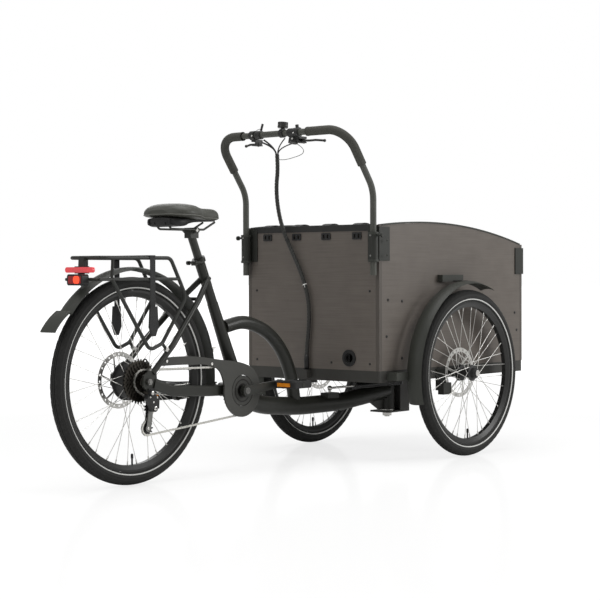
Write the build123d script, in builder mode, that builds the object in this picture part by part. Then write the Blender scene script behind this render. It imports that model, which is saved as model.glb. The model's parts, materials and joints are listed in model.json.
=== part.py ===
"""A cargo tricycle: a rear frame with a hub motor, pinned under a steered box on two wheels.

X points forward, Y to the rider's left and Z up. The origin is on the ground, under the
middle of the whole tricycle. All sizes are millimetres.
"""

import os
from math import asin, atan2, cos, hypot, pi, radians, sin

from build123d import *

# Overall layout
wheelbase = 1320.0
rear_wheel_radius = 326.5
front_wheel_radius = 300.5
tyre_width = 47.0
box_length = 902.0
box_width = 606.0
box_base_z = 283.0
base_height = 41.0
rear_panel_height = 500.0
front_panel_height = 441.0
box_overhang_rear = 440.0
corner_bracket_stand = 24.0
flap_reach = 344.0

# Clearances
gap = 0.3
running_fit = 0.05

# Rear wheel and transmission
rim_depth = 21.0
rim_flange_drop = 41.5
rim_half_width = 15.5
tyre_wall = 4.0
spoke_count = 36
spoke_diameter = 2.0
flange_face = 1.9
nipple_diameter = 4.4
nipple_length = 13.0
rotor_radius = 90.0
rotor_ring_width = 15.0
rotor_thickness = 1.9
dropout_y = 72.0
dropout_thickness = 8.0
rear_axle_radius = 6.0
motor_radius = 74.0
chain_y = -50.0
chain_pitch = 12.7
chainring_teeth = 40
sprocket_teeth = (34, 28, 24, 21, 18, 16, 14)
sprocket_spacing = 3.5
sprocket_thickness = 1.8
chained_sprocket = 4
jockey_teeth = 11
crank_length = 170.0
crank_rise = 5.0
crank_arm_inner_y = 70.0
crank_arm_thickness = 16.0
spindle_radius = 12.0
bb_ahead = 447.0
bb_z = 273.0
bb_shell_radius = 23.0
bb_shell_width = 73.0

# Rear frame
main_tube_diameter = 63.0
arch_tube_diameter = 45.0
seat_tube_radius = 17.0
seat_tube_foot_radius = 24.0
seat_post_radius = 13.6
seat_stay_diameter = 19.0
tube_wall = 2.5
head_radius = 30.0
kingpin_radius = 10.0
clevis_top_z = 275.0
clevis_foot_z = 140.0
clevis_plate = 6.0
guard_thickness = 6.0

# Carriage
wheel_offset = 63.0
front_axle_radius = 8.5
panel_thickness = 15.0
floor_thickness = 12.0
bench_depth = 300.0
post_side = 15.0
channel_width = 40.0
channel_wall = 3.0
trim_thickness = 5.0
bar_diameter = 22.0
bar_wall = 2.0
grip_diameter = 31.0
bar_leg_y = 295.0
bar_leg_foot_z = 655.0
bar_bend_z = 949.0
bar_top_z = 1148.0
bar_set_back = 147.0
socket_radius = 17.0
socket_low_z = 705.0
socket_high_z = 800.0
bundle_diameter = 15.0
cable_diameter = 4.4

# Places that follow from the sizes above
box_overhang_front = box_length - box_overhang_rear
reach_front = wheelbase + box_overhang_front + corner_bracket_stand
rear_x = (flap_reach - reach_front) / 2
front_x = rear_x + wheelbase
rear_axle = (rear_x, 0, rear_wheel_radius)
bb_x = rear_x + bb_ahead
box_rear_x = front_x - box_overhang_rear
box_front_x = box_rear_x + box_length
box_half = box_width / 2
deck_z = box_base_z + base_height
panel_top_rear_z = deck_z + rear_panel_height
panel_top_front_z = deck_z + front_panel_height
front_wheel_y = box_half + wheel_offset
bar_leg_x = box_rear_x - 22.0
guard_y = -(dropout_y - seat_stay_diameter / 2 - gap - guard_thickness / 2)
bar_top_x = bar_leg_x - bar_set_back
seat_lean = -0.442
seat_axis = Vector(seat_lean, 0, 1).normalized()
seat_clamp_z = 715.0
seat_clamp_x = rear_x + 301.5

os.makedirs("parts", exist_ok=True)


def save(builder, name):
    """Labels a finished piece and writes its STEP file."""
    builder.part.label = name
    export_step(builder.part, f"parts/{name}.step")


def add_block(low, high, mode=Mode.ADD):
    """Adds the box between two opposite corners to the part under way."""
    centre = [(a + b) / 2 for a, b in zip(low, high)]
    with Locations(tuple(centre)):
        Box(*[b - a for a, b in zip(low, high)], mode=mode)


def add_round(start, direction, length, radius, mode=Mode.ADD):
    """Adds a cylinder from a point along a direction to the part under way."""
    with BuildSketch(Plane(origin=start, z_dir=direction)) as disc:
        Circle(radius)
    extrude(disc.sketch, amount=length, mode=mode)


def add_rod(start, end, diameter, mode=Mode.ADD):
    """Adds a straight round rod between two points to the part under way."""
    run = Vector(*end) - Vector(*start)
    add_round(start, run, run.length, diameter / 2, mode)


def add_tube(points, bends, diameter, mode=Mode.ADD):
    """Adds a round bar along straight runs joined by arcs to the part under way."""
    with BuildLine() as route:
        FilletPolyline(*points, radius=bends)
    with BuildSketch(Plane(origin=route.line @ 0, z_dir=route.line % 0)) as section:
        Circle(diameter / 2)
    sweep(section.sketch, path=route.line, mode=mode)


def add_plate(outline, y_outer, thickness, mode=Mode.ADD):
    """Adds an upright plate with an (x, z) outline, from y_outer towards -Y."""
    with BuildSketch(upright(y_outer)) as face:
        with BuildLine() as edge:
            Polyline(*outline, close=True)
        make_face(edge.line)
    extrude(face.sketch, amount=thickness, mode=mode)


def upright(y):
    """The plane of constant Y, whose own axes are X and Z and whose normal is -Y."""
    return Plane(origin=(0, y, 0), x_dir=(1, 0, 0), z_dir=(0, -1, 0))


def radial_plane(centre, angle=90.0):
    """A plane through a wheel's axle: its x runs along the axle and its y out at the angle."""
    turn = radians(angle)
    return Plane(origin=centre, x_dir=(0, 1, 0), z_dir=(sin(turn), 0, -cos(turn)))


def across(centre, direction=1):
    """A plane square to an axle, facing +Y or -Y, with X as its own x."""
    return Plane(origin=centre, x_dir=(1, 0, 0), z_dir=(0, direction, 0))


def toothed(centre, teeth, thickness):
    """Adds a plain toothed disc, centred on a plane square to Y, to the part under way."""
    pitch_radius = chain_pitch * teeth / (2 * pi)
    root = pitch_radius - 4.2
    tip = pitch_radius + 2.6
    corners = []
    for i in range(teeth):
        for share, radius in ((-0.28, root), (-0.1, tip), (0.1, tip), (0.28, root)):
            turn = 2 * pi * (i + share) / teeth
            corners.append((radius * cos(turn), radius * sin(turn)))
    start = (centre[0], centre[1] - thickness / 2, centre[2])
    with BuildSketch(across(start)) as face:
        with BuildLine() as edge:
            Polyline(*corners, close=True)
        make_face(edge.line)
    extrude(face.sketch, amount=thickness)


def pitch_radius_of(teeth):
    """The radius at which the chain's rollers lie on a sprocket."""
    return chain_pitch * teeth / (2 * pi)


# ---------------------------------------------------------------- wheels

def add_tyre(centre, radius):
    """A hollow tyre whose beads stand on the rim's flanges."""
    bead = radius - rim_flange_drop + gap
    with BuildSketch(radial_plane(centre)) as section:
        with Locations((0, radius - tyre_width / 2)):
            Circle(tyre_width / 2)
            Circle(tyre_width / 2 - tyre_wall, mode=Mode.SUBTRACT)
        with Locations((0, bead / 2)):
            Rectangle(tyre_width, bead, mode=Mode.SUBTRACT)
    revolve(section.sketch, axis=Axis(centre, (0, 1, 0)))


def add_rim(centre, radius):
    """A deep rim with a channel for the tyre, and the valve's stem through it."""
    flange = radius - rim_flange_drop
    inner = flange - rim_depth
    with BuildSketch(radial_plane(centre)) as section:
        with BuildLine() as edge:
            Polyline(
                (-rim_half_width, flange), (-rim_half_width, flange - 7), (-8, inner),
                (8, inner), (rim_half_width, flange - 7), (rim_half_width, flange),
                (rim_half_width - 2.5, flange), (rim_half_width - 2.5, flange - 6),
                (6.5, inner + 4), (-6.5, inner + 4), (2.5 - rim_half_width, flange - 6),
                (2.5 - rim_half_width, flange), close=True,
            )
        make_face(edge.line)
    revolve(section.sketch, axis=Axis(centre, (0, 1, 0)))
    stem_foot = (centre[0], centre[1], centre[2] - inner - 2)
    add_round(stem_foot, (0, 0, 1), 36, 3.0)


def add_spokes(centre, radius, flange_radius, flange_half, crossing):
    """Crossed spokes from two hub flanges to the rim, each with its nipple."""
    rim_inner = radius - rim_flange_drop - rim_depth
    middle = Vector(*centre)
    for i in range(spoke_count):
        side = 1 if i % 2 else -1
        lean = crossing if i % 4 < 2 else -crossing
        out = 2 * pi * (i + 0.5) / spoke_count
        start = out + radians(lean)
        flange_y = side * flange_half + (flange_face if lean > 0 else -flange_face)
        hub_end = middle + Vector(
            flange_radius * cos(start), flange_y, flange_radius * sin(start)
        )
        rim_end = middle + Vector(
            (rim_inner - 2 * gap) * cos(out), side * 3.0, (rim_inner - 2 * gap) * sin(out)
        )
        run = (rim_end - hub_end).normalized()
        add_rod(hub_end, rim_end, spoke_diameter)
        add_rod(rim_end - run * nipple_length, rim_end, nipple_diameter)


def add_rotor(centre, facing):
    """A brake disc: a drilled outer ring on six leaning arms."""
    ring_inner = rotor_radius - rotor_ring_width
    with BuildSketch(across(centre, facing)) as face:
        Circle(rotor_radius)
        Circle(ring_inner, mode=Mode.SUBTRACT)
        with PolarLocations(rotor_radius - rotor_ring_width / 2, 24):
            Circle(3.2, mode=Mode.SUBTRACT)
        with BuildSketch(mode=Mode.PRIVATE) as arm:
            with Locations(Location((48, 6), 24)):
                Rectangle(64, 6)
        with PolarLocations(0, 6):
            add(arm.sketch)
        Circle(31)
        Circle(20.5, mode=Mode.SUBTRACT)
        with PolarLocations(26, 6):
            Circle(2.4, mode=Mode.SUBTRACT)
    extrude(face.sketch, amount=rotor_thickness)


with BuildPart() as rear_tyre:
    add_tyre(rear_axle, rear_wheel_radius)
save(rear_tyre, "rear_tyre")

with BuildPart() as rear_rim:
    add_rim(rear_axle, rear_wheel_radius)
save(rear_rim, "rear_rim")

motor_flange_radius = 62.0
motor_flange_half = 24.0
with BuildPart() as rear_spokes:
    add_spokes(rear_axle, rear_wheel_radius, motor_flange_radius + 1, motor_flange_half, 24)
save(rear_spokes, "rear_spokes")

rear_rotor_y = 57.0
with BuildPart() as hub_motor:
    with BuildSketch(radial_plane(rear_axle)) as section:
        with BuildLine() as edge:
            Polyline(
                (-32, 8), (-32, 40), (-28, 50), (-26, motor_flange_radius),
                (-22, motor_flange_radius), (-20, motor_radius - 18), (20, motor_radius - 18),
                (22, motor_flange_radius), (26, motor_flange_radius), (27, motor_radius - 22),
                (42, 44), (rear_rotor_y - 6, 32), (rear_rotor_y, 32), (rear_rotor_y, 20),
                (62, 20), (64, 14), (64, 8), close=True,
            )
        make_face(edge.line)
    revolve(section.sketch, axis=Axis(rear_axle, (0, 1, 0)))
    add_round(
        (rear_x, -40, rear_wheel_radius), (0, 1, 0), 120,
        rear_axle_radius + running_fit, Mode.SUBTRACT,
    )
    add_round((rear_x, -33, rear_wheel_radius), (0, 1, 0), 98, rear_axle_radius + 6, Mode.SUBTRACT)
    for bearing_y in (-32, 52):
        with BuildSketch(across((rear_x, bearing_y, rear_wheel_radius))) as bearing:
            Circle(rear_axle_radius + 8)
            Circle(rear_axle_radius + running_fit, mode=Mode.SUBTRACT)
        extrude(bearing.sketch, amount=12)
    add_rotor((rear_x, rear_rotor_y + gap / 3, rear_wheel_radius), 1)
save(hub_motor, "hub_motor")

sprocket_first_y = chain_y + chained_sprocket * sprocket_spacing
sprocket_inner_y = sprocket_first_y + 3.0
sprocket_outer_y = sprocket_first_y - sprocket_spacing * (len(sprocket_teeth) - 1) - 2.0
with BuildPart() as rear_sprockets:
    for i, teeth in enumerate(sprocket_teeth):
        place = (rear_x, sprocket_first_y - i * sprocket_spacing, rear_wheel_radius)
        toothed(place, teeth, sprocket_thickness)
    add_round(
        (rear_x, sprocket_outer_y, rear_wheel_radius), (0, 1, 0),
        sprocket_inner_y - sprocket_outer_y, 23,
    )
    add_round(
        (rear_x, sprocket_outer_y - 1, rear_wheel_radius), (0, 1, 0), 40,
        rear_axle_radius + running_fit, Mode.SUBTRACT,
    )
save(rear_sprockets, "rear_sprockets")

# ---------------------------------------------------------------- rear frame

seat_foot_z = 262.0
seat_tube_foot = (seat_clamp_x + seat_lean * (seat_foot_z - seat_clamp_z), 0, seat_foot_z)
seat_tube_top = (seat_clamp_x, 0, seat_clamp_z)
taper_length = 330.0
main_route = [
    (bb_x, 0, bb_z), (rear_x + 590, 0, 212), (rear_x + 800, 0, 194),
    (front_x - 280, 0, 194), (front_x - 12, 0, 221),
]
main_bends = [400, 1400, 1400]
arch_route = [
    (rear_x + 422, 0, 484), (rear_x + 520, 0, 503), (rear_x + 640, 0, 466),
    (rear_x + 722, 0, 392), (rear_x + 768, 0, 300), (rear_x + 786, 0, 200),
]
arch_bends = [200, 250, 260, 300]
seat_stay_route = [(335, 14, 648), (255, 44, 573), (112, 72, 437), (21, dropout_y, 352)]
chain_stay_route = [(438, 24, 270), (372, 34, 277), (300, 46, 280), (110, 70, 292), (24, dropout_y, 318)]


def behind(points, side):
    """Moves points given from the rear axle to their place, on the left or the right side."""
    return [(rear_x + x, side * y, z) for x, y, z in points]


with BuildPart() as main_frame:
    add_tube(main_route, main_bends, main_tube_diameter)
    add_tube(arch_route, arch_bends, arch_tube_diameter)
    foot_plane = Plane(origin=seat_tube_foot, z_dir=seat_axis)
    with BuildSketch(foot_plane) as foot:
        Circle(seat_tube_foot_radius)
    with BuildSketch(foot_plane.offset(taper_length)) as neck:
        Circle(seat_tube_radius + 1.0)
    loft([foot.sketch, neck.sketch])
    add_rod(seat_tube_foot, seat_tube_top, 2 * seat_tube_radius)
    for side in (1, -1):
        add_tube(behind(seat_stay_route, side), [150, 150], seat_stay_diameter)
        stays = behind(chain_stay_route, side)
        with BuildLine() as stay_line:
            FilletPolyline(*stays, radius=[80, 200, 80])
        start = Plane(origin=stay_line.line @ 0, x_dir=(0, 1, 0), z_dir=stay_line.line % 0)
        with BuildSketch(start) as stay:
            RectangleRounded(17, 36, 7)
        sweep(stay.sketch, path=stay_line.line)
        low = side * dropout_y - dropout_thickness / 2
        outline = [
            (rear_x - 20, rear_wheel_radius + 20), (rear_x - 22, rear_wheel_radius - 14),
            (rear_x + 4, rear_wheel_radius - 34), (rear_x + 40, rear_wheel_radius - 26),
            (rear_x + 34, rear_wheel_radius + 36), (rear_x + 8, rear_wheel_radius + 34),
        ]
        add_plate(outline, low + dropout_thickness, dropout_thickness)
        add_round(
            (rear_x, side * dropout_y - 10, rear_wheel_radius), (0, 1, 0), 20,
            rear_axle_radius + gap, Mode.SUBTRACT,
        )
    for bridge_x, bridge_z, reach in ((262.5, 580.0, 44), (361.0, 279.0, 36)):
        centre = (rear_x + bridge_x, -reach, bridge_z)
        add_round(centre, (0, 1, 0), 2 * reach, 6)
    add_round((bb_x, -bb_shell_width / 2, bb_z), (0, 1, 0), bb_shell_width, bb_shell_radius)
    add_round((front_x, 0, clevis_foot_z + clevis_plate + 4), (0, 0, 1), 120, head_radius)
    gusset = [
        (front_x - 130, 196), (front_x - 10, 200), (front_x - 10, clevis_foot_z + 11),
        (front_x - 52, clevis_foot_z + 11),
    ]
    add_plate(gusset, 5, 10)
    add_plate([(rear_x + 925, 215), (rear_x + 985, 215), (rear_x + 985, 234), (rear_x + 925, 234)], -2, 36)
    inner_route = [(bb_x + 34, 0, bb_z - 14)] + main_route[1:-1] + [(front_x - 40, 0, 218)]
    add_tube(inner_route, main_bends, main_tube_diameter - 2 * tube_wall, Mode.SUBTRACT)
    inner_arch = [(rear_x + 448, 0, 489)] + arch_route[1:-1] + [(rear_x + 783, 0, 216)]
    add_tube(inner_arch, arch_bends, arch_tube_diameter - 2 * tube_wall, Mode.SUBTRACT)
    post_bore_start = Vector(*seat_tube_top) + seat_axis * 2
    add_round(post_bore_start, -seat_axis, 300, seat_post_radius + running_fit, Mode.SUBTRACT)
    bb_bore_start = (bb_x, -bb_shell_width / 2 - 1, bb_z)
    add_round(
        bb_bore_start, (0, 1, 0), bb_shell_width + 2, spindle_radius + running_fit, Mode.SUBTRACT
    )
    add_round(
        (front_x, 0, clevis_foot_z), (0, 0, 1), 160, kingpin_radius + running_fit, Mode.SUBTRACT
    )
save(main_frame, "main_frame")

with BuildPart() as rear_axle_bar:
    add_round((rear_x, -86, rear_wheel_radius), (0, 1, 0), 172, rear_axle_radius)
    for side in (1, -1):
        nut_y = side * (dropout_y + dropout_thickness / 2 + gap)
        with BuildSketch(across((rear_x, nut_y, rear_wheel_radius), side)) as nut:
            RegularPolygon(10.5, 6)
            Circle(rear_axle_radius, mode=Mode.SUBTRACT)
        extrude(nut.sketch, amount=8)
save(rear_axle_bar, "rear_axle")

# ---------------------------------------------------------------- crank, chain, derailleur

arm_run = Vector(cos(radians(crank_rise)), 0, sin(radians(crank_rise)))
pedal_axle_radius = 7.0
with BuildPart() as crank_arms:
    add_round((bb_x, -crank_arm_inner_y, bb_z), (0, 1, 0), 2 * crank_arm_inner_y, spindle_radius)
    for side in (1, -1):
        sign = -side
        inner = Vector(bb_x, side * crank_arm_inner_y, bb_z)
        tip = inner + arm_run * (sign * crank_length)
        face = Plane(origin=inner, x_dir=arm_run * sign, z_dir=(0, side, 0))
        with BuildSketch(face) as arm:
            Circle(20)
            with Locations((crank_length, 0)):
                Circle(14)
            with BuildLine() as edge:
                Polyline(
                    (0, 17), (crank_length, 12), (crank_length, -12), (0, -17), close=True
                )
            make_face()
        extrude(arm.sketch, amount=crank_arm_thickness)
        add_round(tip, (0, side, 0), crank_arm_thickness + 100, pedal_axle_radius)
save(crank_arms, "crank_arms")

cover_radius = 50.0
with BuildPart() as chainring:
    toothed((bb_x, chain_y, bb_z), chainring_teeth, sprocket_thickness)
    with BuildSketch(across((bb_x, chain_y - 2, bb_z))) as windows:
        with PolarLocations(50, 5):
            Circle(17)
    extrude(windows.sketch, amount=4, mode=Mode.SUBTRACT)
    hub_y = guard_y - guard_thickness / 2
    add_round((bb_x, hub_y, bb_z), (0, 1, 0), chain_y + 2 - hub_y, 22)
    add_round((bb_x, hub_y, bb_z), (0, 1, 0), 3, cover_radius)
    add_round(
        (bb_x, -crank_arm_inner_y, bb_z), (0, 1, 0), 40, spindle_radius + gap, Mode.SUBTRACT
    )
save(chainring, "chainring")

with BuildPart() as chain_guard:
    with BuildSketch(upright(guard_y + guard_thickness / 2)) as face:
        with BuildLine() as edge:
            Line((rear_x + 72, 372), (rear_x + 72, 397))
            Line((rear_x + 72, 397), (rear_x + 130, 399))
            Spline(
                (rear_x + 130, 399), (rear_x + 250, 393), (rear_x + 350, 379), (bb_x + 20, bb_z + 86),
                tangents=[(1, 0), (1, -0.35)],
            )
            Line((bb_x + 20, bb_z + 86), (bb_x, bb_z))
            Line((bb_x, bb_z), (bb_x - 86, bb_z + 18))
            Spline(
                (bb_x - 86, bb_z + 18), (rear_x + 335, 345), (rear_x + 210, 369), (rear_x + 72, 372),
                tangents=[(-0.3, 1), (-1, 0)],
            )
        make_face()
        with Locations((bb_x, bb_z)):
            Circle(88)
            Circle(cover_radius + 2, mode=Mode.SUBTRACT)
    extrude(face.sketch, amount=guard_thickness)
save(chain_guard, "chain_guard")


def belt(wheels):
    """Straight runs and arcs of a loop round wheels given as (x, z, radius, turn)."""
    runs = []
    for i, (x1, z1, r1, turn1) in enumerate(wheels):
        x2, z2, r2, turn2 = wheels[(i + 1) % len(wheels)]
        heading = atan2(z2 - z1, x2 - x1)
        lean = asin((turn1 * r1 - turn2 * r2) / hypot(x2 - x1, z2 - z1))
        side = heading + lean - pi / 2
        runs.append((
            (x1 - turn1 * -r1 * cos(side), z1 - turn1 * -r1 * sin(side)),
            (x2 - turn2 * -r2 * cos(side), z2 - turn2 * -r2 * sin(side)),
        ))
    return runs


guide_centre = (rear_x + 28, 243.0)
tension_centre = (rear_x + 18, 179.0)
chain_wheels = [
    (rear_x, rear_wheel_radius, pitch_radius_of(sprocket_teeth[chained_sprocket]), -1),
    (bb_x, bb_z, pitch_radius_of(chainring_teeth), -1),
    (*tension_centre, pitch_radius_of(jockey_teeth), -1),
    (*guide_centre, pitch_radius_of(jockey_teeth), 1),
]
chain_runs = belt(chain_wheels)
chain_plate = 1.1
chain_plate_y = sprocket_thickness / 2 + gap + chain_plate / 2
chain_plate_height = 8.0
with BuildPart() as chain:
    with BuildLine(upright(0)) as loop:
        for i, (x, z, radius, turn) in enumerate(chain_wheels):
            arrive = chain_runs[i - 1][1]
            leave = chain_runs[i][0]
            first = atan2(arrive[1] - z, arrive[0] - x)
            last = atan2(leave[1] - z, leave[0] - x)
            sweep_angle = (turn * (last - first)) % (2 * pi)
            middle = first + turn * sweep_angle / 2
            ThreePointArc(
                arrive, (x + radius * cos(middle), z + radius * sin(middle)), leave
            )
            Line(leave, chain_runs[i][1])
    route = Wire(loop.edges())
    for side in (1, -1):
        sideways = Vector(0, chain_y + side * chain_plate_y, 0)
        start = Plane(origin=route @ 0 + sideways, x_dir=(0, 1, 0), z_dir=route % 0)
        shifted = route.moved(Location(sideways))
        with BuildSketch(start) as link:
            Rectangle(chain_plate, chain_plate_height)
        sweep(link.sketch, path=shifted)
save(chain, "chain")

cage_half = 5.0
cage_plate = 1.6
jockey_bolt_radius = 2.5
with BuildPart() as derailleur_cage:
    for side in (1, -1):
        near = chain_y + side * cage_half
        with BuildSketch(upright(max(near, near + side * cage_plate))) as plate:
            with BuildLine() as edge:
                Polyline(
                    (guide_centre[0] - 9, guide_centre[1] + 5), (guide_centre[0] + 9, guide_centre[1] + 5),
                    (guide_centre[0] + 8, guide_centre[1] - 30),
                    (tension_centre[0] + 10, tension_centre[1] - 4),
                    (tension_centre[0] - 10, tension_centre[1] - 4),
                    (guide_centre[0] - 12, guide_centre[1] - 30), close=True,
                )
            make_face()
        extrude(plate.sketch, amount=cage_plate)
        for x, z in (guide_centre, tension_centre):
            add_round((x, near, z), (0, side, 0), cage_plate, 11)
    for x, z in (guide_centre, tension_centre):
        add_round((x, chain_y - cage_half - 1, z), (0, 1, 0), 2 * cage_half + 2, jockey_bolt_radius)
save(derailleur_cage, "derailleur_cage")

for name, place in (("jockey_upper", guide_centre), ("jockey_lower", tension_centre)):
    with BuildPart() as jockey:
        toothed((place[0], chain_y, place[1]), jockey_teeth, sprocket_thickness)
        add_round((place[0], chain_y - 4.4, place[1]), (0, 1, 0), 8.8, 8)
        add_round(
            (place[0], chain_y - 6, place[1]), (0, 1, 0), 12,
            jockey_bolt_radius + running_fit, Mode.SUBTRACT,
        )
    save(jockey, name)

with BuildPart() as derailleur_body:
    knuckle_y = chain_y - cage_half - cage_plate - gap
    add_round((guide_centre[0], knuckle_y, guide_centre[1]), (0, -1, 0), 20, 12)
    link = [
        (guide_centre[0] - 14, guide_centre[1] - 2), (guide_centre[0] + 14, guide_centre[1] - 2),
        (rear_x + 44, 276), (rear_x + 22, 288), (rear_x - 6, 286), (rear_x - 8, 274),
    ]
    hanger_y = -dropout_y - dropout_thickness / 2
    add_plate(link, knuckle_y - 6, knuckle_y - 6 - (hanger_y - gap - 4))
    add_round((rear_x + 8, hanger_y - gap, 292), (0, -1, 0), 10, 10)
    add_block((rear_x - 2, hanger_y - 4.3, 286), (rear_x + 18, hanger_y - gap, 306))
save(derailleur_body, "derailleur_body")

pedal_centre_y = crank_arm_inner_y + crank_arm_thickness + 54
for side, name in ((1, "pedal_left"), (-1, "pedal_right")):
    axle = Vector(bb_x, 0, bb_z) + arm_run * (-side * crank_length)
    with BuildPart() as pedal:
        centre = (axle.X, side * pedal_centre_y, axle.Z)
        with BuildSketch(Plane(origin=(axle.X, side * pedal_centre_y, axle.Z - 12))) as tread:
            RectangleRounded(98, 90, 14)
            for x in (-29, 29):
                with Locations((x, 0)):
                    RectangleRounded(24, 62, 5, mode=Mode.SUBTRACT)
        extrude(tread.sketch, amount=24)
        chamfer(pedal.faces().filter_by(Axis.Z).edges().group_by(Edge.length)[-1], 2)
        add_round(
            (axle.X, side * (pedal_centre_y - 60), axle.Z), (0, side, 0), 120,
            pedal_axle_radius + running_fit, Mode.SUBTRACT,
        )
        for end in (1, -1):
            low = (axle.X + end * 51 - 2.2, side * pedal_centre_y - 27, axle.Z - 6)
            high = (axle.X + end * 51 + 2.2, side * pedal_centre_y + 27, axle.Z + 6)
            add_block(low, high)
    save(pedal, name)

# ---------------------------------------------------------------- seat

post_foot = Vector(*seat_tube_top) - seat_axis * 190
post_head = Vector(*seat_tube_top) + seat_axis * 78
rail_z = 806.0
saddle_base_z = 835.0
saddle_height = 55.0
rail_route = [
    (128, saddle_base_z - 2.8), (150, rail_z), (300, rail_z), (352, saddle_base_z - 3.6),
]
with BuildPart() as seat_post:
    add_round(post_foot, seat_axis, (post_head - post_foot).length, seat_post_radius)
    add_block((post_head.X - 17, -15, post_head.Z - 8), (post_head.X + 19, 15, rail_z - 4))
    add_round((post_head.X, -30, rail_z - 2), (0, 1, 0), 60, 9)
    for side in (1, -1):
        points = [(rear_x + x, side * 27, z) for x, z in rail_route]
        add_tube(points, [14, 20], 7.0)
save(seat_post, "seat_post")

with BuildPart() as saddle:
    with BuildSketch(Plane.XY.offset(saddle_base_z)) as outline:
        with BuildLine() as edge:
            Spline(
                (rear_x + 115, 0), (rear_x + 128, 72), (rear_x + 180, 104), (rear_x + 245, 72),
                (rear_x + 300, 34), (rear_x + 360, 26), (rear_x + 385, 0),
                tangents=[(0, 1), (0, -1)],
            )
            mirror(about=Plane.XZ)
        make_face()
    extrude(outline.sketch, amount=saddle_height)
save(saddle, "saddle")

clamp_low = Vector(*seat_tube_top) - seat_axis * 16
with BuildPart() as seat_clamp:
    with BuildSketch(Plane(origin=clamp_low, x_dir=(0, 1, 0), z_dir=seat_axis)) as collar:
        Circle(seat_tube_radius + 4.5)
        with Locations((0, 23)):
            Rectangle(22, 12)
        Circle(seat_tube_radius + gap, mode=Mode.SUBTRACT)
        with Locations((0, 24)):
            Rectangle(3, 16, mode=Mode.SUBTRACT)
    extrude(collar.sketch, amount=15)
    ear = clamp_low + seat_axis * 7.5 + seat_axis.cross(Vector(0, 1, 0)).normalized() * 24
    add_round(ear - Vector(0, 26, 0), (0, 1, 0), 56, 3.0)
    add_round(ear + Vector(0, 22, 0), (0, 1, 0), 9, 7)
save(seat_clamp, "seat_clamp")

lever_pivot = ear - Vector(0, 33, 0)
with BuildPart() as seat_lever:
    add_round(lever_pivot - Vector(0, 0, 7), (0, 0, 1), 14, 6.5)
    lever_route = [
        lever_pivot, lever_pivot + Vector(-4, -14, 0), lever_pivot + Vector(-52, -20, 0),
    ]
    add_tube([tuple(p) for p in lever_route], [8], 9)
save(seat_lever, "seat_lever")

# ---------------------------------------------------------------- rear rack, fender and lamp

rack_y = 74.0
rack_rod = 12.0
rack_top_z = 712.0
rack_low_z = 646.0
rack_rear = -194.0
with BuildPart() as rear_rack:
    half_loop = [
        (rack_rear, 0, rack_top_z), (rack_rear, rack_y, rack_top_z), (100, rack_y, rack_top_z),
        (170, rack_y, 588), (62, rack_y, 444), (8, rack_y, 424), (-40, rack_y, 490),
        (-150, rack_y, rack_low_z),
    ]
    for side in (1, -1):
        add_tube(behind(half_loop, side), [30, 26, 40, 34, 26, 60], rack_rod)
        add_rod(
            (rear_x - 203, side * rack_y, rack_low_z), (rear_x + 136, side * rack_y, rack_low_z), 10
        )
        add_rod(
            (rear_x - 150, side * rack_y, rack_low_z), (rear_x - 146, side * rack_y, rack_top_z), 10
        )
        tab = [(rear_x + 62, side * rack_y, 444), (rear_x + 82.1, side * rack_y, 422.5)]
        add_rod(*tab, 10)
    for x, z, rod in ((-203, rack_low_z, 10), (-70, rack_top_z, 8), (60, rack_top_z, 8)):
        add_rod((rear_x + x, -rack_y, z), (rear_x + x, rack_y, z), rod)
    add_block((rear_x - 172, -7, rack_top_z - 3), (rear_x + 60, 7, rack_top_z + 3))
    add_block((rear_x - 206, -32, 664), (rear_x - 203.5, 32, 686))
    add_block((rear_x - 208, -12, 640), (rear_x - 203.5, 12, 690))
    add_block((rear_x - 208, -12, 686), (rear_x - 190, 12, rack_top_z))
save(rear_rack, "rear_rack")

lamp_back_x = rear_x - 208.0
lamp_face = Plane(origin=(lamp_back_x - gap, 0, 0), x_dir=(0, -1, 0), z_dir=(-1, 0, 0))
lamp_z = 645.0
with BuildPart() as rear_lamp:
    with BuildSketch(lamp_face) as shell:
        with Locations((0, lamp_z)):
            RectangleRounded(70, 34, 8)
    extrude(shell.sketch, amount=26)
    with BuildSketch(lamp_face.offset(18)) as mouth:
        with Locations((0, lamp_z)):
            RectangleRounded(58, 24, 5)
    extrude(mouth.sketch, amount=10, mode=Mode.SUBTRACT)
save(rear_lamp, "rear_lamp")

with BuildPart() as rear_reflectors:
    with BuildSketch(lamp_face) as bar:
        with Locations((0, 675)):
            SlotOverall(126, 17)
    extrude(bar.sketch, amount=9)
    with BuildSketch(lamp_face.offset(18)) as lens:
        with Locations((0, lamp_z)):
            RectangleRounded(58 - 2 * gap, 24 - 2 * gap, 5)
    extrude(lens.sketch, amount=9)
save(rear_reflectors, "rear_reflectors")

fender_thickness = 2.4
rear_fender_radius = 358.0
front_fender_radius = 333.0


def add_fender(centre, radius, width, crown, high_angle, arc):
    """A crowned mudguard, turned about the axle from its low rear end forwards."""
    with BuildSketch(radial_plane(centre, high_angle)) as section:
        with BuildLine() as edge:
            outer = ThreePointArc(
                (-width / 2, radius - crown), (0, radius), (width / 2, radius - crown)
            )
            Line(outer @ 1, (width / 2 - fender_thickness, radius - crown))
            inner = ThreePointArc(
                (width / 2 - fender_thickness, radius - crown),
                (0, radius - fender_thickness),
                (fender_thickness - width / 2, radius - crown),
            )
            Line(inner @ 1, outer @ 0)
        make_face()
    revolve(section.sketch, axis=Axis(centre, (0, 1, 0)), revolution_arc=arc)


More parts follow.
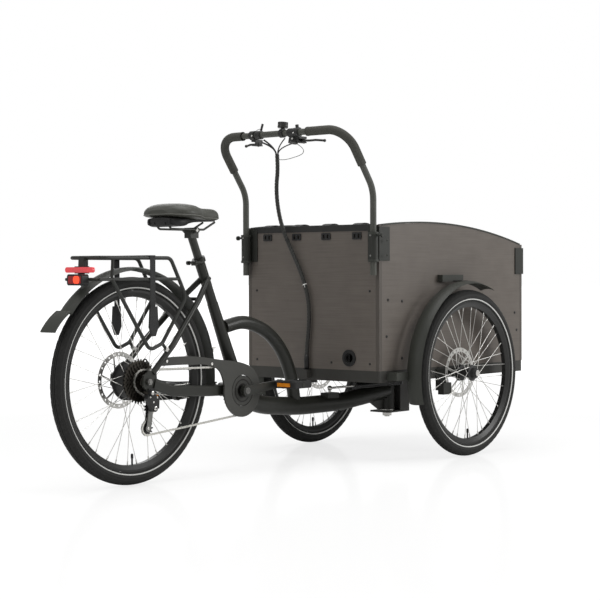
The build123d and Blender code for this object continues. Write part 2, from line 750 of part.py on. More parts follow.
with BuildPart() as rear_fender:
    add_fender(rear_axle, rear_fender_radius, 62, 11, 142, 147)
    tail = radians(141)
    tail_x = rear_x + (rear_fender_radius + 1) * cos(tail)
    tail_z = rear_wheel_radius + (rear_fender_radius + 1) * sin(tail)
    flap_tip_x = rear_x - flap_reach
    with BuildSketch(upright(32)) as flap:
        with BuildLine() as edge:
            upper = Spline((tail_x, tail_z), (rear_x - 316, 524), (flap_tip_x, 490))
            Line(upper @ 1, (flap_tip_x + 5, 488))
            lower = Spline((flap_tip_x + 5, 488), (rear_x - 313, 520), (tail_x + 3, tail_z - 4))
            Line(lower @ 1, upper @ 0)
        make_face()
    extrude(flap.sketch, amount=64)
save(rear_fender, "rear_fender")

with BuildPart() as rear_caliper:
    low_y = rear_rotor_y - 12
    add_block((rear_x + 74, low_y, 336), (rear_x + 108, rear_rotor_y + 14, 366))
    add_block((rear_x + 60, rear_rotor_y - 1.5, 320), (rear_x + 104, rear_rotor_y + 3.5, 380), Mode.SUBTRACT)
    add_block((rear_x + 96, rear_rotor_y + 6, 315.4), (rear_x + 106, rear_rotor_y + 14, 337))
save(rear_caliper, "rear_caliper")

strap_y = rack_y + rack_rod / 2 + gap
with BuildPart() as rack_straps:
    top = rack_top_z + rack_rod / 2 + gap
    add_block((rear_x + 4, -strap_y - 2, top), (rear_x + 26, strap_y + 2, top + 2))
    for side in (1, -1):
        near, far = sorted((side * strap_y, side * (strap_y + 2)))
        add_block((rear_x + 4, near, 520), (rear_x + 26, far, top + 2))
        outline = [
            (rear_x, 560), (rear_x + 30, 560), (rear_x + 34, 496), (rear_x + 22, 468),
            (rear_x + 8, 468), (rear_x - 4, 496),
        ]
        add_plate(outline, max(near, far) + (5 if side > 0 else 0), 7)
save(rack_straps, "rack_straps")

# ---------------------------------------------------------------- steered carriage

axle_tip_y = front_wheel_y + 32.0
with BuildPart() as base_frame:
    with BuildSketch(Plane.XY.offset(box_base_z)) as ring:
        with Locations(((box_rear_x + box_front_x) / 2, 0)):
            RectangleRounded(box_length, box_width, 6)
            Rectangle(box_length - 2 * channel_width, box_width - 2 * channel_width, mode=Mode.SUBTRACT)
    extrude(ring.sketch, amount=base_height)
    with BuildSketch(Plane.XY.offset(box_base_z + channel_wall)) as hollow:
        with Locations(((box_rear_x + box_front_x) / 2, 0)):
            Rectangle(box_length - 2 * channel_wall, box_width - 2 * channel_wall)
            Rectangle(box_length - 2 * channel_width - 1, box_width - 2 * channel_width - 1, mode=Mode.SUBTRACT)
    extrude(hollow.sketch, amount=base_height - 2 * channel_wall, mode=Mode.SUBTRACT)
    inside = box_half - channel_wall
    for x, half in ((front_x, 62), (box_rear_x + 210, 20), (box_front_x - 210, 20)):
        add_block((x - half, -inside, box_base_z), (x + half, inside, deck_z))
        add_block(
            (x - half + channel_wall, -inside, box_base_z + channel_wall),
            (x + half - channel_wall, inside, deck_z - channel_wall), Mode.SUBTRACT,
        )
    add_block((front_x - 62, -60, clevis_top_z), (front_x + 92, 60, box_base_z))
    add_block((front_x - 45, -45, clevis_foot_z), (front_x + 80, 45, clevis_foot_z + clevis_plate))
    add_block((front_x + 74, -45, clevis_foot_z), (front_x + 80, 45, clevis_top_z))
    for side in (1, -1):
        low, high = sorted((side * 45, side * 39))
        add_block((front_x + 24, low, clevis_foot_z), (front_x + 80, high, clevis_top_z))
    add_round((front_x, 0, 100), (0, 0, 1), 250, kingpin_radius + gap, Mode.SUBTRACT)
    for side in (1, -1):
        root = (front_x, side * box_half, front_wheel_radius)
        add_round(root, (0, side, 0), axle_tip_y - box_half, front_axle_radius)
        add_round(root, (0, side, 0), 8, 15)
    gland_low = (box_rear_x - 24, 3, box_base_z + 8)
    add_block(gland_low, (box_rear_x, 27, deck_z - 4))
save(base_frame, "base_frame")

with BuildPart() as kingpin:
    pin_foot = clevis_foot_z - 18
    add_round((front_x, 0, pin_foot), (0, 0, 1), box_base_z - pin_foot + 8, kingpin_radius)
    for foot, height in ((clevis_foot_z - gap - 14, 14), (box_base_z + channel_wall + gap, 12)):
        with BuildSketch(Plane.XY.offset(foot)) as head:
            with Locations((front_x, 0)):
                RegularPolygon(17, 6)
        extrude(head.sketch, amount=height)
    with BuildSketch(Plane.XY.offset(clevis_foot_z + clevis_plate)) as washer:
        with Locations((front_x, 0)):
            Circle(head_radius - 2)
    extrude(washer.sketch, amount=4 - gap)
    add_block((front_x + 80 + gap, -38, clevis_foot_z + 12), (front_x + 84, 38, clevis_top_z - gap))
save(kingpin, "kingpin")

# The floor is two boards that meet just in front of the bench's foot board
floor_joint_x = box_rear_x + post_side + bench_depth - 16.0
floor_half = box_half - panel_thickness - gap
floor_top_z = deck_z + floor_thickness
with BuildPart() as box_floor:
    add_block(
        (box_rear_x + panel_thickness + gap, -floor_half, deck_z),
        (floor_joint_x - gap, floor_half, floor_top_z),
    )
    add_block(
        (floor_joint_x, -floor_half, deck_z),
        (box_front_x - panel_thickness - gap, floor_half, floor_top_z),
    )
save(box_floor, "box_floor")


def side_top(x):
    """Height of the side panel's arched top edge at a place along the box."""
    share = (x - box_rear_x) / box_length
    straight = panel_top_rear_z + (panel_top_front_z - panel_top_rear_z) * share
    return straight + 160 * share * (1 - share)


panel_rear_x = box_rear_x + post_side
panel_front_x = box_front_x - post_side
middle_x = (panel_rear_x + panel_front_x) / 2
for side, name in ((1, "side_panel_left"), (-1, "side_panel_right")):
    outer_y = side * box_half
    with BuildPart() as side_panel:
        with BuildSketch(upright(max(outer_y, outer_y - side * panel_thickness))) as face:
            with BuildLine() as edge:
                Polyline(
                    (panel_rear_x + gap, side_top(panel_rear_x)), (panel_rear_x + gap, deck_z),
                    (panel_front_x - gap, deck_z), (panel_front_x - gap, side_top(panel_front_x)),
                )
                ThreePointArc(
                    (panel_front_x - gap, side_top(panel_front_x)), (middle_x, side_top(middle_x)),
                    (panel_rear_x + gap, side_top(panel_rear_x)),
                )
            make_face()
        extrude(face.sketch, amount=panel_thickness)
    save(side_panel, name)

post_inner = box_half - post_side - gap
with BuildPart() as rear_panel:
    add_block((box_rear_x, -post_inner, deck_z), (box_rear_x + panel_thickness, post_inner, panel_top_rear_z))
    add_round((box_rear_x - 1, -171, 366), (1, 0, 0), 20, 22, Mode.SUBTRACT)
    for y in (-207, -68, 68, 207):
        for end in (-9, 9):
            add_block(
                (box_rear_x - 1, y + end - 4, 785), (box_rear_x + 20, y + end + 4, 799), Mode.SUBTRACT
            )
save(rear_panel, "rear_panel")

with BuildPart() as front_panel:
    add_block(
        (box_front_x - panel_thickness, -post_inner, deck_z),
        (box_front_x, post_inner, panel_top_front_z),
    )
save(front_panel, "front_panel")

with BuildPart() as edge_trim:
    for side in (1, -1):
        high = max(side * (box_half + 2), side * (box_half - panel_thickness - 2))
        with BuildSketch(upright(high)) as face:
            with BuildLine() as edge:
                ends = (panel_rear_x + gap, middle_x, panel_front_x - gap)
                low = ThreePointArc(*[(x, side_top(x) + gap) for x in ends])
                Line(low @ 1, (ends[2], side_top(ends[2]) + gap + trim_thickness))
                high_arc = ThreePointArc(*[(x, side_top(x) + gap + trim_thickness) for x in ends[::-1]])
                Line(high_arc @ 1, low @ 0)
            make_face()
        extrude(face.sketch, amount=panel_thickness + 4)
    for x, top in ((box_rear_x, panel_top_rear_z), (box_front_x - panel_thickness, panel_top_front_z)):
        add_block(
            (x - 2, -post_inner, top + gap), (x + panel_thickness + 2, post_inner, top + gap + trim_thickness)
        )
save(edge_trim, "edge_trim")

bracket_wall = 4.0
bracket_top_z = panel_top_rear_z - 2.0
with BuildPart() as corner_brackets:
    for side in (1, -1):
        for x, top, toward in (
            (box_rear_x, panel_top_rear_z + trim_thickness, 1),
            (box_front_x, panel_top_front_z + trim_thickness, -1),
        ):
            near, far = sorted((x, x + toward * post_side))
            low, high = sorted((side * box_half, side * (box_half - post_side)))
            add_block((near, low, deck_z), (far, high, top))
    for side in (1, -1):
        face = side * (box_half + gap)
        low, high = sorted((face, face + side * bracket_wall))
        back = box_rear_x - gap
        add_block((back - bracket_wall, low, socket_low_z), (box_rear_x + 55, high, bracket_top_z))
        low, high = sorted((face + side * bracket_wall, side * (box_half - 46)))
        add_block((back - bracket_wall, low, socket_low_z), (back, high, bracket_top_z))
        ear = (bar_leg_x, side * bar_leg_y, socket_low_z)
        add_round(ear, (0, 0, 1), socket_high_z - socket_low_z, socket_radius)
        add_round(
            (bar_leg_x, side * bar_leg_y, socket_low_z - 2), (0, 0, 1), 110,
            bar_diameter / 2 + running_fit, Mode.SUBTRACT,
        )
        add_round((bar_leg_x, side * (bar_leg_y + 15), 792), (0, side, 0), 26, 4)
        add_round((bar_leg_x, side * (bar_leg_y + 36), 792), (0, side, 0), 7, 8)
        front = box_front_x + gap
        low, high = sorted((face, face + side * bracket_wall))
        add_block((box_front_x - 50, low, 657), (front + bracket_wall, high, 757))
        low, high = sorted((face, side * (box_half - 40)))
        add_block((front, low, 657), (front + bracket_wall, high, 757))
        with BuildSketch(Plane.XY.offset(657)) as boss:
            with Locations((front + bracket_wall, side * (box_half - 18))):
                Circle(16)
                Rectangle(32, 32, align=(Align.MAX, Align.CENTER), mode=Mode.SUBTRACT)
        extrude(boss.sketch, amount=100)
save(corner_brackets, "corner_brackets")

fitting_x = box_rear_x - gap
with BuildPart() as rear_panel_fittings:
    for y in (-207, -68, 68, 207):
        with BuildSketch(Plane(origin=(fitting_x, y, 792), x_dir=(0, 1, 0), z_dir=(-1, 0, 0))) as plate:
            RectangleRounded(40, 24, 3)
            for end in (-9, 9):
                with Locations((end, 0)):
                    Rectangle(7, 13, mode=Mode.SUBTRACT)
        extrude(plate.sketch, amount=3.5)
    with BuildSketch(Plane(origin=(fitting_x, -171, 366), x_dir=(0, 1, 0), z_dir=(-1, 0, 0))) as flange:
        Circle(29)
        Circle(19, mode=Mode.SUBTRACT)
    extrude(flange.sketch, amount=4)
    add_round((fitting_x - 1, -171, 366), (1, 0, 0), panel_thickness, 22 - gap)
    add_round((fitting_x - 2.5, -171, 366), (1, 0, 0), panel_thickness + 6, 15, Mode.SUBTRACT)
    add_block((fitting_x - 2, -172, 351), (fitting_x + 4, -170, 381))
save(rear_panel_fittings, "rear_panel_fittings")

seat_board_z = 548.0
bench_front_x = panel_rear_x + bench_depth
bench_half = box_half - panel_thickness - gap
with BuildPart() as bench:
    add_block((panel_rear_x + gap, -bench_half, seat_board_z), (bench_front_x, bench_half, seat_board_z + 12))
    add_block(
        (bench_front_x - 32, -bench_half, deck_z + floor_thickness + gap),
        (bench_front_x - 20, bench_half, seat_board_z),
    )
save(bench, "bench")

cushion_z = seat_board_z + 12 + gap
with BuildPart() as seat_cushion:
    add_block(
        (panel_rear_x + 46, -bench_half + 8, cushion_z), (bench_front_x + 8, bench_half - 8, cushion_z + 46)
    )
save(seat_cushion, "seat_cushion")

pad_top_z = panel_top_rear_z + trim_thickness + 9
with BuildPart() as backrest_pad:
    pad_x = panel_rear_x + 2 * gap + 2
    add_block((pad_x, -bench_half + 10, cushion_z + 4), (pad_x + 38, bench_half - 10, pad_top_z))
    for y in (-207, -68, 68, 207):
        add_block(
            (box_rear_x - 3.6, y - 18, pad_top_z - 8), (pad_x + 10, y + 18, pad_top_z - 4)
        )
save(backrest_pad, "backrest_pad")

with BuildPart() as battery:
    low = (panel_rear_x + 40, 40, deck_z + floor_thickness + gap)
    add_block(low, (low[0] + 200, 40 + 92, low[2] + 130))
    fillet(battery.edges().filter_by(Axis.X), 10)
    add_block((low[0] + 60, 70, low[2] + 130), (low[0] + 140, 100, low[2] + 142))
save(battery, "battery")

front_rotor_y = box_half + 27.0
hub_inner_y = front_rotor_y + 2.5
for side, name in ((1, "left"), (-1, "right")):
    centre = (front_x, side * front_wheel_y, front_wheel_radius)
    with BuildPart() as tyre:
        add_tyre(centre, front_wheel_radius)
    save(tyre, f"front_tyre_{name}")
    with BuildPart() as rim:
        add_rim(centre, front_wheel_radius)
    save(rim, f"front_rim_{name}")
    with BuildPart() as spokes:
        add_spokes(centre, front_wheel_radius, 30.0, 21.0, 52)
    save(spokes, f"front_spokes_{name}")
    with BuildPart() as hub:
        inward = hub_inner_y - front_wheel_y
        with BuildSketch(radial_plane(centre)) as section:
            with BuildLine() as edge:
                points = [
                    (inward, 0), (inward, 30), (inward + 6, 30), (inward + 8, 20),
                    (-24, 20), (-23, 28.6), (-19, 28.6), (-17, 17), (17, 17), (19, 28.6),
                    (23, 28.6), (25, 20), (38, 18), (44, 13), (44, 0),
                ]
                Polyline(*[(side * y, r) for y, r in points], close=True)
            make_face()
        revolve(section.sketch, axis=Axis(centre, (0, 1, 0)))
        add_round(
            (front_x, side * (hub_inner_y - 1), front_wheel_radius), (0, side, 0),
            axle_tip_y - hub_inner_y + 3, front_axle_radius + running_fit, Mode.SUBTRACT,
        )
        rotor_foot = (front_x, side * (hub_inner_y - gap / 3), front_wheel_radius)
        add_rotor(rotor_foot, -side)
    save(hub, f"front_hub_{name}")

with BuildPart() as front_fenders:
    for side in (1, -1):
        centre = (front_x, side * front_wheel_y, front_wheel_radius)
        add_fender(centre, front_fender_radius, 62, 9, 197, 131)
        crown_z = front_wheel_radius + front_fender_radius
        face = box_half + gap
        low, high = sorted((side * face, side * (front_wheel_y - 4)))
        add_block((front_x - 28, low, crown_z - 3), (front_x + 8, high, crown_z + 1.5))
        low, high = sorted((side * face, side * (face + 22)))
        add_block((front_x - 96, low, crown_z - 3), (front_x + 34, high, crown_z + 22))
        low, high = sorted((side * face, side * (front_wheel_y - 20)))
        add_block((front_x - 398, low, 291), (front_x - front_fender_radius + 8, high, 318))
save(front_fenders, "front_fenders")

caliper_x = front_x - 88.0
with BuildPart() as front_calipers:
    for side in (1, -1):
        low, high = sorted((side * (front_rotor_y - 13), side * (front_rotor_y + 12)))
        add_block((caliper_x - 26, low, 226), (caliper_x + 22, high, 268))
        low, high = sorted((side * (front_rotor_y - 1.5), side * (front_rotor_y + 5)))
        add_block((caliper_x - 16, low, 220), (caliper_x + 30, high, 275), Mode.SUBTRACT)
        low, high = sorted((side * (box_half + gap), side * (box_half + gap + 5)))
        add_block((caliper_x - 22, low, 240), (caliper_x + 40, high, 316))
        low, high = sorted((side * (box_half + gap), side * (front_rotor_y - 12)))
        add_block((caliper_x - 22, low, 240), (caliper_x + 6, high, 262))
save(front_calipers, "front_calipers")

# ---------------------------------------------------------------- handlebar and controls

bar_route = [
    (bar_leg_x, bar_leg_y, bar_leg_foot_z), (bar_leg_x, bar_leg_y, bar_bend_z),
    (bar_top_x, bar_leg_y, bar_top_z), (bar_top_x, -bar_leg_y, bar_top_z),
    (bar_leg_x, -bar_leg_y, bar_bend_z), (bar_leg_x, -bar_leg_y, bar_leg_foot_z),
]
bar_bends = [110, 80, 80, 110]
with BuildPart() as handlebar:
    add_tube(bar_route, bar_bends, bar_diameter)
    add_tube(bar_route, bar_bends, bar_diameter - 2 * bar_wall, Mode.SUBTRACT)
save(handlebar, "handlebar")

grip_share = 0.42
grip_foot_x = bar_leg_x - bar_set_back * grip_share
grip_foot_z = bar_bend_z + (bar_top_z - bar_bend_z) * grip_share
with BuildPart() as grips:
    for side, inner_end in ((1, 172), (-1, 124)):
        points = [
            (grip_foot_x, side * bar_leg_y, grip_foot_z), (bar_top_x, side * bar_leg_y, bar_top_z),
            (bar_top_x, side * inner_end, bar_top_z),
        ]
        add_tube(points, 80, grip_diameter)
    for side in (1, -1):
        points = [
            (bar_leg_x, side * bar_leg_y, bar_bend_z), (bar_top_x, side * bar_leg_y, bar_top_z),
            (bar_top_x, side * 60, bar_top_z),
        ]
        add_tube(points, 80, bar_diameter + 2 * gap, Mode.SUBTRACT)
save(grips, "grips")

clamp_radius = bar_diameter / 2 + gap
lever_spots = ((1, "brake_lever_left", 128.0), (-1, "brake_lever_right", 84.0))
lever_z = bar_top_z - 27
lever_x = bar_top_x + 30
for side, name, y in lever_spots:
    with BuildPart() as lever:
        add_round((lever_x, side * y, lever_z - 5), (0, 0, 1), 10, 7)
        points = [
            (lever_x, side * y, lever_z), (lever_x + 14, side * (y + 14), lever_z),
            (lever_x + 10, side * (y + 46), lever_z), (lever_x + 20, side * (y + 76), lever_z - 3),
        ]
        add_tube(points, [12, 24], 8)
        with Locations(points[-1]):
            Sphere(5.5)
        add_round((lever_x, side * y, lever_z - 8), (0, 0, 1), 20, 2.5 + running_fit, Mode.SUBTRACT)
    save(lever, name)

with BuildPart() as bar_controls:
    for side, name, y in lever_spots:
        low, high = sorted((side * (y - 14), side * (y + 6)))
        add_round((bar_top_x, low, bar_top_z), (0, 1, 0), high - low, clamp_radius + 5)
        add_block((bar_top_x, low, lever_z + 5 + gap), (lever_x + 8, high, lever_z + 13))
        add_block((bar_top_x + 2, low, lever_z - 9), (lever_x + 8, high, lever_z - 5 - gap))
        low, high = sorted((side * (y - 14), side * (y - 9)))
        add_block((bar_top_x + 2, low, lever_z - 9), (lever_x + 6, high, lever_z + 12))
        add_round((lever_x, side * y, lever_z - 8), (0, 0, 1), 16, 2.5)
    for y, width in ((96, 22), (-56, 26), (-12, 16)):
        add_round((bar_top_x, y - width / 2, bar_top_z), (0, 1, 0), width, clamp_radius + 4)
    add_round((bar_top_x + 4, -56, bar_top_z - 36), (0.25, 0, 1), 24, 17)
    add_round((bar_top_x, -12, bar_top_z + 10), (0.1, 0, 1), 12, 7)
    add_round((bar_top_x + 1, -12, bar_top_z + 19), (0.1, 0, 1), 19, 18)
    add_rod((bar_top_x + 6, 96, bar_top_z + 8), (bar_top_x + 2, 82, bar_top_z + 38), 8)
    add_rod((bar_top_x + 4, -78, bar_top_z + 6), (bar_top_x + 4, -74, bar_top_z + 26), 12)
    add_round((bar_top_x, -200, bar_top_z), (0, 1, 0), 400, clamp_radius, Mode.SUBTRACT)
save(bar_controls, "bar_controls")

bundle_route = [
    (box_rear_x - 100, 74, 1082), (box_rear_x - 84, 84, 1034), (box_rear_x - 62, 112, 974),
    (box_rear_x - 40, 126, 906), (box_rear_x - 26, 120, 838), (box_rear_x - 17, 96, 772),
    (box_rear_x - 14.5, 60, 708), (box_rear_x - 14, 28, 644), (box_rear_x - 13, 6, 580),
    (box_rear_x - 12.5, 1, 512), (box_rear_x - 12, 7, 444), (box_rear_x - 12, 15, 380),
    (box_rear_x - 12, 15, deck_z - 4),
]


def cord_radii(points, diameter):
    """The largest arc that each corner's two runs leave room for."""
    radii = []
    for before, here, after in zip(points, points[1:], points[2:]):
        into = Vector(*here) - Vector(*before)
        away = Vector(*after) - Vector(*here)
        turn = radians(into.get_angle(away))
        radii.append(0.45 * min(into.length, away.length) * cos(turn / 2) / sin(turn / 2))
    print("cord radii", [round(r) for r in radii], "in diameters", round(min(radii) / diameter, 1))
    return radii


with BuildPart() as cable_bundle:
    add_tube(bundle_route, cord_radii(bundle_route, bundle_diameter), bundle_diameter)
save(cable_bundle, "cable_bundle")

bundle_top = Vector(*bundle_route[0])
bundle_out = (bundle_top - Vector(*bundle_route[1])).normalized()
with BuildPart() as control_cables:
    fan = (
        ((4.4, 0), (bar_top_x + 22, 104, bar_top_z - 24)),
        ((0, 4.4), (bar_top_x + 16, 90, bar_top_z - 16)),
        ((-4.4, 0), (bar_top_x + 26, -40, bar_top_z - 34)),
        ((0, -4.4), (bar_top_x + 12, -12, bar_top_z - 17)),
    )
    base = Plane(origin=bundle_top, x_dir=(0, 1, 0), z_dir=bundle_out)
    for (across_x, across_y), end in fan:
        foot = base.from_local_coords(Vector(across_x, across_y, 0))
        rise = base.from_local_coords(Vector(across_x, across_y, 26))
        points = [tuple(foot), tuple(rise), end]
        add_tube(points, cord_radii(points, cable_diameter), cable_diameter)
save(control_cables, "control_cables")

# ---------------------------------------------------------------- steering damper

damper_rear = Vector(rear_x + 955, -20, 250)
damper_front = Vector(front_x - 34, -84, 258)
damper_run = (damper_front - damper_rear).normalized()
rod_length = 190.0
cylinder_start = 118.0
with BuildPart() as damper_rod:
    add_round(damper_rear - damper_run * 4, damper_run, rod_length, 4)
    with Locations(tuple(damper_rear)):
        Sphere(9)
    add_round((damper_rear.X, damper_rear.Y, 234 + gap), (0, 0, 1), 12, 5)
save(damper_rod, "damper_rod")

with BuildPart() as damper_cylinder:
    length = (damper_front - damper_rear).length - cylinder_start
    add_round(damper_rear + damper_run * cylinder_start, damper_run, length, 12)
    add_round(
        damper_rear + damper_run * (cylinder_start - 1), damper_run, length - 20,
        4 + running_fit, Mode.SUBTRACT,
    )
    add_round((damper_front.X, damper_front.Y, damper_front.Z - 8), (0, 0, 1), 16, 13)
save(damper_cylinder, "damper_cylinder")
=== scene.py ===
"""Looks of a cargo tricycle, laid out as an add-on: an operator for each group of pieces.

All sizes are metres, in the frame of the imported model: X forwards, Y to the rider's left, Z up.
"""

import json
import math
from itertools import product

import bmesh
import bpy
import numpy as np
from mathutils import Matrix, Vector


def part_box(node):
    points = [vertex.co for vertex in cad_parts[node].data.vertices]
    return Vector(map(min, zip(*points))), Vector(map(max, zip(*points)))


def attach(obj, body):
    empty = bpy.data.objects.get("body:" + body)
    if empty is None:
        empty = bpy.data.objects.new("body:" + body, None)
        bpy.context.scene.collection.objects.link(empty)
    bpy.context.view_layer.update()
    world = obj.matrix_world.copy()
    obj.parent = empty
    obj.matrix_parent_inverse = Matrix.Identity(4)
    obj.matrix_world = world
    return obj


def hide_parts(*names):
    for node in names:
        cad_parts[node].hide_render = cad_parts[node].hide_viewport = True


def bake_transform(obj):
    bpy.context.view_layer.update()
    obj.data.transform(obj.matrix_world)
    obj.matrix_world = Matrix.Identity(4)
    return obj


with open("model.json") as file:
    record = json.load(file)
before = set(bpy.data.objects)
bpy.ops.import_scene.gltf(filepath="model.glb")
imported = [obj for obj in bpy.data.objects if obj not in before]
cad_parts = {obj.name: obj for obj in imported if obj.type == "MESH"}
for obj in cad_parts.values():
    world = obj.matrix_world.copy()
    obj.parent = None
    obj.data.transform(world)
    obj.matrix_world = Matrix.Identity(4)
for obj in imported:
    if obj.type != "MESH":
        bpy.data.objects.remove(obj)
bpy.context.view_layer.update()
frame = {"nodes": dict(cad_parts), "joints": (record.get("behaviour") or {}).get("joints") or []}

bl_info = {
    "name": "Cargo tricycle finish",
    "version": (1, 0, 0),
    "blender": (4, 5, 0),
    "location": "View3D > Sidebar > Tricycle",
    "description": "Finishes, soft parts and small pieces of a cargo tricycle",
    "category": "Object",
}

MM = 0.001
BAR_RADIUS = 0.011
DISC_INNER = 0.0205
BEAD_ANGLE = 138.0
STRIPE_ANGLE = 116.0
TYRE_WALL = 0.0034


# ---------------------------------------------------------------- places that the frame gives

def middle(node):
    """The middle of a node's box."""
    low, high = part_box(node)
    return (low + high) / 2


def pivot(joint):
    """A point on a joint's axis."""
    return Vector(next(j["pos_m"] for j in frame["joints"] if j["name"] == joint))


REAR_AXLE = middle("rear_tyre")
CRANK = pivot("crank_spin")
SIDES = ((1, "left"), (-1, "right"))
WHEELS = (
    ("rear", "rear_wheel", "rear_tyre", "rear_rim"),
    ("left", "left_wheel", "front_tyre_left", "front_rim_left"),
    ("right", "right_wheel", "front_tyre_right", "front_rim_right"),
)


# ---------------------------------------------------------------- shader expressions

def maths(operation, swapped=False):
    """A method that adds a Math node, with its values in reverse order where swapped."""
    def method(self, *others):
        values = (*others, self) if swapped else (self, *others)
        return self.nodes.node("ShaderNodeMath", {"operation": operation}, values)

    return method


class Value:
    """A shader value that takes part in plain arithmetic."""

    def __init__(self, nodes, link):
        self.nodes = nodes
        self.link = link

    __add__ = __radd__ = maths("ADD")
    __sub__ = maths("SUBTRACT")
    __rsub__ = maths("SUBTRACT", swapped=True)
    __mul__ = __rmul__ = maths("MULTIPLY")
    __truediv__ = maths("DIVIDE")
    __rtruediv__ = maths("DIVIDE", swapped=True)
    __pow__ = maths("POWER")
    __gt__ = maths("GREATER_THAN")
    __lt__ = maths("LESS_THAN")
    __abs__ = maths("ABSOLUTE")
    sine = maths("SINE")
    larger = maths("MAXIMUM")


class Nodes:
    """A node tree and the one way that nodes are added to it."""

    def __init__(self, tree):
        self.tree = tree

    def join(self, value, socket):
        """Links a value to a socket, or sets the socket to a plain number or colour."""
        if isinstance(value, Value):
            self.tree.links.new(value.link, socket)
        elif socket.type == "RGBA" and len(value) == 3:
            socket.default_value = (*value, 1)
        else:
            socket.default_value = value

    def node(self, kind, settings=None, values=(), output=0):
        """Adds a node: its settings first, then the values or links of its sockets."""
        made = self.tree.nodes.new(kind)
        for name, value in (settings or {}).items():
            if name == "stops":
                for element, (position, shade) in zip(made.color_ramp.elements, value):
                    element.position = position
                    element.color = (shade, shade, shade, 1)
            else:
                setattr(made, name, value)
        pairs = values.items() if isinstance(values, dict) else enumerate(values)
        for key, value in pairs:
            self.join(value, made.inputs[key])
        return Value(self, made.outputs[output])


class Finish(Nodes):
    """A material under way: its node tree, its shader and the textures that feed it."""

    def __init__(self, name, colour=(0.5, 0.5, 0.5), roughness=0.5, metallic=0.0, **constants):
        self.material = bpy.data.materials.new(name)
        self.material.use_nodes = True
        super().__init__(self.material.node_tree)
        self.shader = self.tree.nodes["Principled BSDF"]
        self.give("Base Color", colour)
        self.give("Roughness", roughness)
        self.give("Metallic", metallic)
        self.give("Specular IOR Level", 0.5 if metallic else 0.3)
        for socket, value in constants.items():
            self.give(socket.replace("_", " "), value)
        self.place = self.node("ShaderNodeTexCoord", output="Object")
        self.x, self.y, self.z = self.parts_of(self.place)

    def give(self, socket, value):
        self.join(value, self.shader.inputs[socket])

    def parts_of(self, vector):
        first = self.node("ShaderNodeSeparateXYZ", {}, (vector,))
        return [Value(self, output) for output in first.link.node.outputs]

    def stretched(self, factors):
        """The place on the piece, scaled unevenly along the three axes."""
        return self.node("ShaderNodeVectorMath", {"operation": "MULTIPLY"}, (self.place, factors))

    def noise(self, scale, detail=2.0, place=None):
        values = {"Vector": place or self.place, "Scale": scale, "Detail": detail}
        return self.node("ShaderNodeTexNoise", {}, values)

    def cells(self, scale, place=None):
        values = {"Vector": place or self.place, "Scale": scale}
        return self.node("ShaderNodeTexVoronoi", {}, values)

    def contrast(self, value, low, high):
        """Spreads a value so that low becomes 0 and high becomes 1."""
        stops = ((low, 0), (high, 1))
        return self.node("ShaderNodeValToRGB", {"stops": stops}, (value,))

    def mix(self, share, first, second):
        return self.node(
            "ShaderNodeMix", {"data_type": "RGBA"}, {0: share, 6: first, 7: second}, output=2
        )

    def bump(self, height, strength=0.3, distance=0.0005):
        values = {"Height": height, "Strength": strength, "Distance": distance}
        self.give("Normal", self.node("ShaderNodeBump", {}, values))

    def away_from(self, centre, first="X", second="Z"):
        """Distance from an axis through a centre, square to two directions."""
        names = {"X": (self.x, centre[0]), "Y": (self.y, centre[1]), "Z": (self.z, centre[2])}
        a, b = names[first][0] - names[first][1], names[second][0] - names[second][1]
        return (a * a + b * b) ** 0.5


def tinted(colour, share):
    return tuple(min(1.0, part * share) for part in colour)


def worn(finish, colour, roughness, spread=0.12, scale=9.0):
    """Slow changes of shade and gloss over a surface, as handling and dust leave."""
    cloud = finish.noise(scale, 4.0)
    finish.give("Base Color", finish.mix(cloud, tinted(colour, 1 - spread), tinted(colour, 1 + 2 * spread)))
    finish.give("Roughness", cloud * 0.16 + (roughness - 0.08))


def powder_coat(name, colour, roughness=0.42):
    """Powder-coated metal with its fine orange peel."""
    finish = Finish(name, colour, roughness)
    worn(finish, colour, roughness)
    finish.bump(finish.noise(700.0, 2.0), 0.16, 0.0003)
    return finish.material


def moulding(name, colour, roughness=0.55, grain=1500.0):
    """Moulded plastic with a spark-eroded grain."""
    finish = Finish(name, colour, roughness)
    worn(finish, colour, roughness, 0.08)
    finish.bump(finish.cells(grain), 0.25, 0.00025)
    return finish.material


def bare_metal(name, colour, roughness=0.3):
    """Plated or stainless metal with drawn marks."""
    finish = Finish(name, colour, roughness, 1.0)
    marks = finish.noise(40.0, 3.0, finish.stretched((60.0, 60.0, 60.0)))
    finish.give("Roughness", marks * 0.3 + (roughness - 0.12))
    finish.give("Base Color", finish.mix(finish.noise(30.0, 3.0), tinted(colour, 0.75), tinted(colour, 1.1)))
    finish.bump(marks, 0.12, 0.0001)
    return finish.material


def coated_board(name, colour):
    """Film-faced board: fine level streaks under a satin film, with a soft mottle."""
    finish = Finish(name, colour, 0.4)
    along = finish.x + finish.y
    place = finish.node("ShaderNodeCombineXYZ", {}, (along * 2.2, 0.0, finish.z * 95.0))
    streaks = finish.contrast(finish.noise(3.0, 5.0, place), 0.32, 0.7)
    mottle = finish.noise(16.0, 5.0)
    share = streaks * 0.45 + mottle * 0.55
    finish.give("Base Color", finish.mix(share, tinted(colour, 0.8), tinted(colour, 1.22)))
    finish.give("Roughness", share * 0.14 + 0.3)
    finish.bump(streaks * 0.5 + finish.noise(420.0, 3.0), 0.14, 0.0003)
    return finish.material


def hide(name, colour, roughness=0.5, grain=520.0):
    """Vinyl or leather with a pebbled grain."""
    finish = Finish(name, colour, roughness, Coat_Weight=0.08, Coat_Roughness=0.35)
    worn(finish, colour, roughness, 0.14, 14.0)
    pebbles = finish.contrast(finish.cells(grain), 0.0, 0.75)
    finish.bump(pebbles * 0.7 + finish.noise(1400.0, 2.0) * 0.3, 0.35, 0.0006)
    return finish.material


